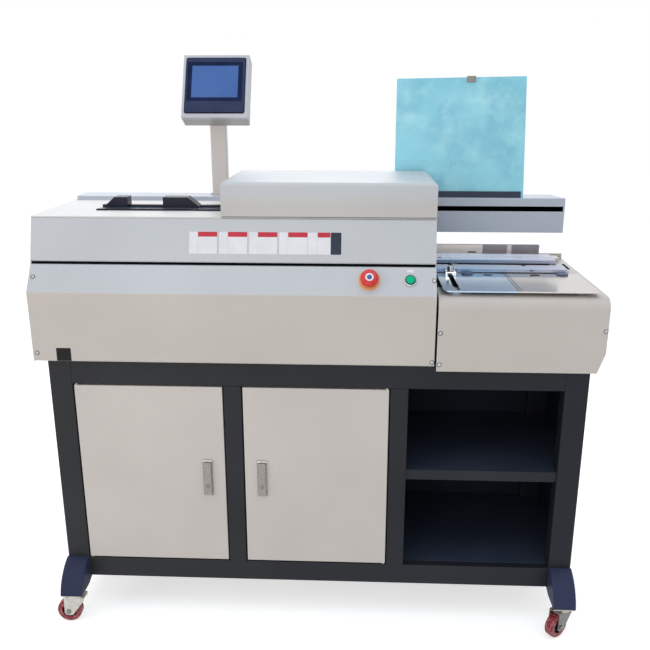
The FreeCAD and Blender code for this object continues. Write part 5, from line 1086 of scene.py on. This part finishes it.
def splash_plate():
    """Stainless plate behind the table, and its slot."""
    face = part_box("rear_cover")[1].y - 2.9 * MM
    plate = block((HOUSING_RIGHT + 2 * MM, face, TABLE_TOP + 0.3 * MM),
                  (SPLASH_RIGHT, face + MM, TABLE_TOP + SPLASH_HEIGHT))
    piece("splash_plate", plate, SPLASH_STEEL)
    # Painted shade: the slot is a thin black plate that stands in for the shade inside it.
    (left, bottom), (right, top) = SPLASH_SLOT
    slot = block((left, face - 0.2 * MM, TABLE_TOP + bottom), (right, face, TABLE_TOP + top))
    piece("splash_slot", slot, SHADE_BLACK)


# ---- stations inside ----
def stations():
    """Glue, milling and clamp stations, the carriage's drive and the mains inlet."""
    coat(ALUMINIUM, "glue_tank", "moving_jaw")
    coat(CAST, "carriage")
    coat(MOTOR_PAINT, "carriage_motor", "milling_motor")
    coat(STEEL, "glue_roller_1", "glue_roller_2", "milling_cutter", "drive_sprocket", "drive_chain")
    coat(BLACK_PLASTIC, "power_inlet")


# ---- light, floor and camera ----
# Soft boxes: name, place, target, size, watts and colour.
LAMPS = (("top_softbox", (0.1, -0.9, 3.5), (0.05, 0, 0.9), (3.6, 2.4), 30, (0.78, 0.9, 1)),
         ("rear_softbox", (-0.3, 2.6, 2.9), (0, 0, 1), (3.4, 1.8), 52, (1, 1, 1)),
         ("front_softbox", (-0.6, -4.2, 1.6), (0, 0, 0.8), (3, 2.2), 28, (1, 0.94, 0.86)),
         ("left_softbox", (-3.6, -2.4, 2), (0, 0, 0.9), (1.8, 1.8), 26, (1, 0.92, 0.82)))
FILL_COLOUR, FILL_STRENGTH = (0.95, 0.975, 1, 1), 0.53
WHITE = (1, 1, 1, 1)
FLOOR_GREY = (0.8, 0.8, 0.8, 1)
FLOOR_GLOW = 0.6
FLOOR_SIZE = 12
CAMERA_PLACE = (0.0954, -1.8707, 1.272)
CAMERA_LENS = 42.65
CAMERA_TILT = math.radians(16.6)  # down from level
CAMERA_TURN = math.radians(2.5)  # to the left


def lamp(name, place, target, size, energy, colour):
    """Area lamp that shines at its target and isn't seen itself."""
    data = bpy.data.lights.new(name, "AREA")
    data.shape = "RECTANGLE"
    data.size, data.size_y = size
    data.energy, data.color = energy, colour
    made = shown(name, data)
    made.location = place
    made.rotation_euler = (Vector(target) - Vector(place)).to_track_quat("-Z", "Y").to_euler()
    made.visible_camera = False


def seen_or_mirrored(nodes, links):
    """1 for rays from the camera and for mirrored and refracted ones."""
    path = nodes.new("ShaderNodeLightPath")
    value = path.outputs["Is Camera Ray"]
    for name in ("Is Glossy Ray", "Is Transmission Ray"):
        either = nodes.new("ShaderNodeMath")
        either.operation = "MAXIMUM"
        links.new(value, either.inputs[0])
        links.new(path.outputs[name], either.inputs[1])
        value = either.outputs[0]
    return value


def studio():
    """White surroundings with a soft fill light, and the soft boxes."""
    world = bpy.data.worlds.new("studio")
    SCENE.world = world
    world.use_nodes = True
    nodes, links = world.node_tree.nodes, world.node_tree.links
    fill = set_inputs(nodes["Background"], {"Color": FILL_COLOUR, "Strength": FILL_STRENGTH})
    seen = set_inputs(nodes.new("ShaderNodeBackground"), {"Color": WHITE, "Strength": 1})
    mixed = nodes.new("ShaderNodeMixShader")
    links.new(seen_or_mirrored(nodes, links), mixed.inputs["Fac"])
    links.new(fill.outputs[0], mixed.inputs[1])
    links.new(seen.outputs[0], mixed.inputs[2])
    links.new(mixed.outputs[0], nodes["World Output"].inputs["Surface"])
    for row in LAMPS:
        lamp(*row)


def floor():
    """Pale floor that the camera sees as white except in the machine's shadow."""
    bm = bmesh.new()
    bmesh.ops.create_grid(bm, x_segments=1, y_segments=1, size=FLOOR_SIZE)
    mesh = stored("floor", bm)
    made = shown("floor", mesh)
    material = bpy.data.materials.new("floor_white")
    material.use_nodes = True
    nodes, links = material.node_tree.nodes, material.node_tree.links
    base = set_inputs(nodes.new("ShaderNodeBsdfDiffuse"), {"Color": FLOOR_GREY})
    glow = set_inputs(nodes.new("ShaderNodeEmission"), {"Color": WHITE})
    lift = nodes.new("ShaderNodeMath")
    lift.operation = "MULTIPLY"
    lift.inputs[1].default_value = FLOOR_GLOW
    links.new(seen_or_mirrored(nodes, links), lift.inputs[0])
    links.new(lift.outputs[0], glow.inputs["Strength"])
    both = nodes.new("ShaderNodeAddShader")
    links.new(base.outputs[0], both.inputs[0])
    links.new(glow.outputs[0], both.inputs[1])
    links.new(both.outputs[0], nodes["Material Output"].inputs["Surface"])
    mesh.materials.append(material)


def camera():
    """Camera at the front, a little right of the middle."""
    data = bpy.data.cameras.new("camera")
    data.sensor_width = 36
    data.lens = CAMERA_LENS
    made = shown("camera", data)
    made.location = CAMERA_PLACE
    made.rotation_euler = (math.radians(90) - CAMERA_TILT, 0, CAMERA_TURN)
    SCENE.camera = made


cabinet()
feet()
for name in CASTERS:
    caster(name)
housing()
screws()
cards()
controls()
control_panel()
board_and_stops()
cover_table()
stations()
studio()
floor()
camera()
SCENE.view_settings.view_transform = "Standard"
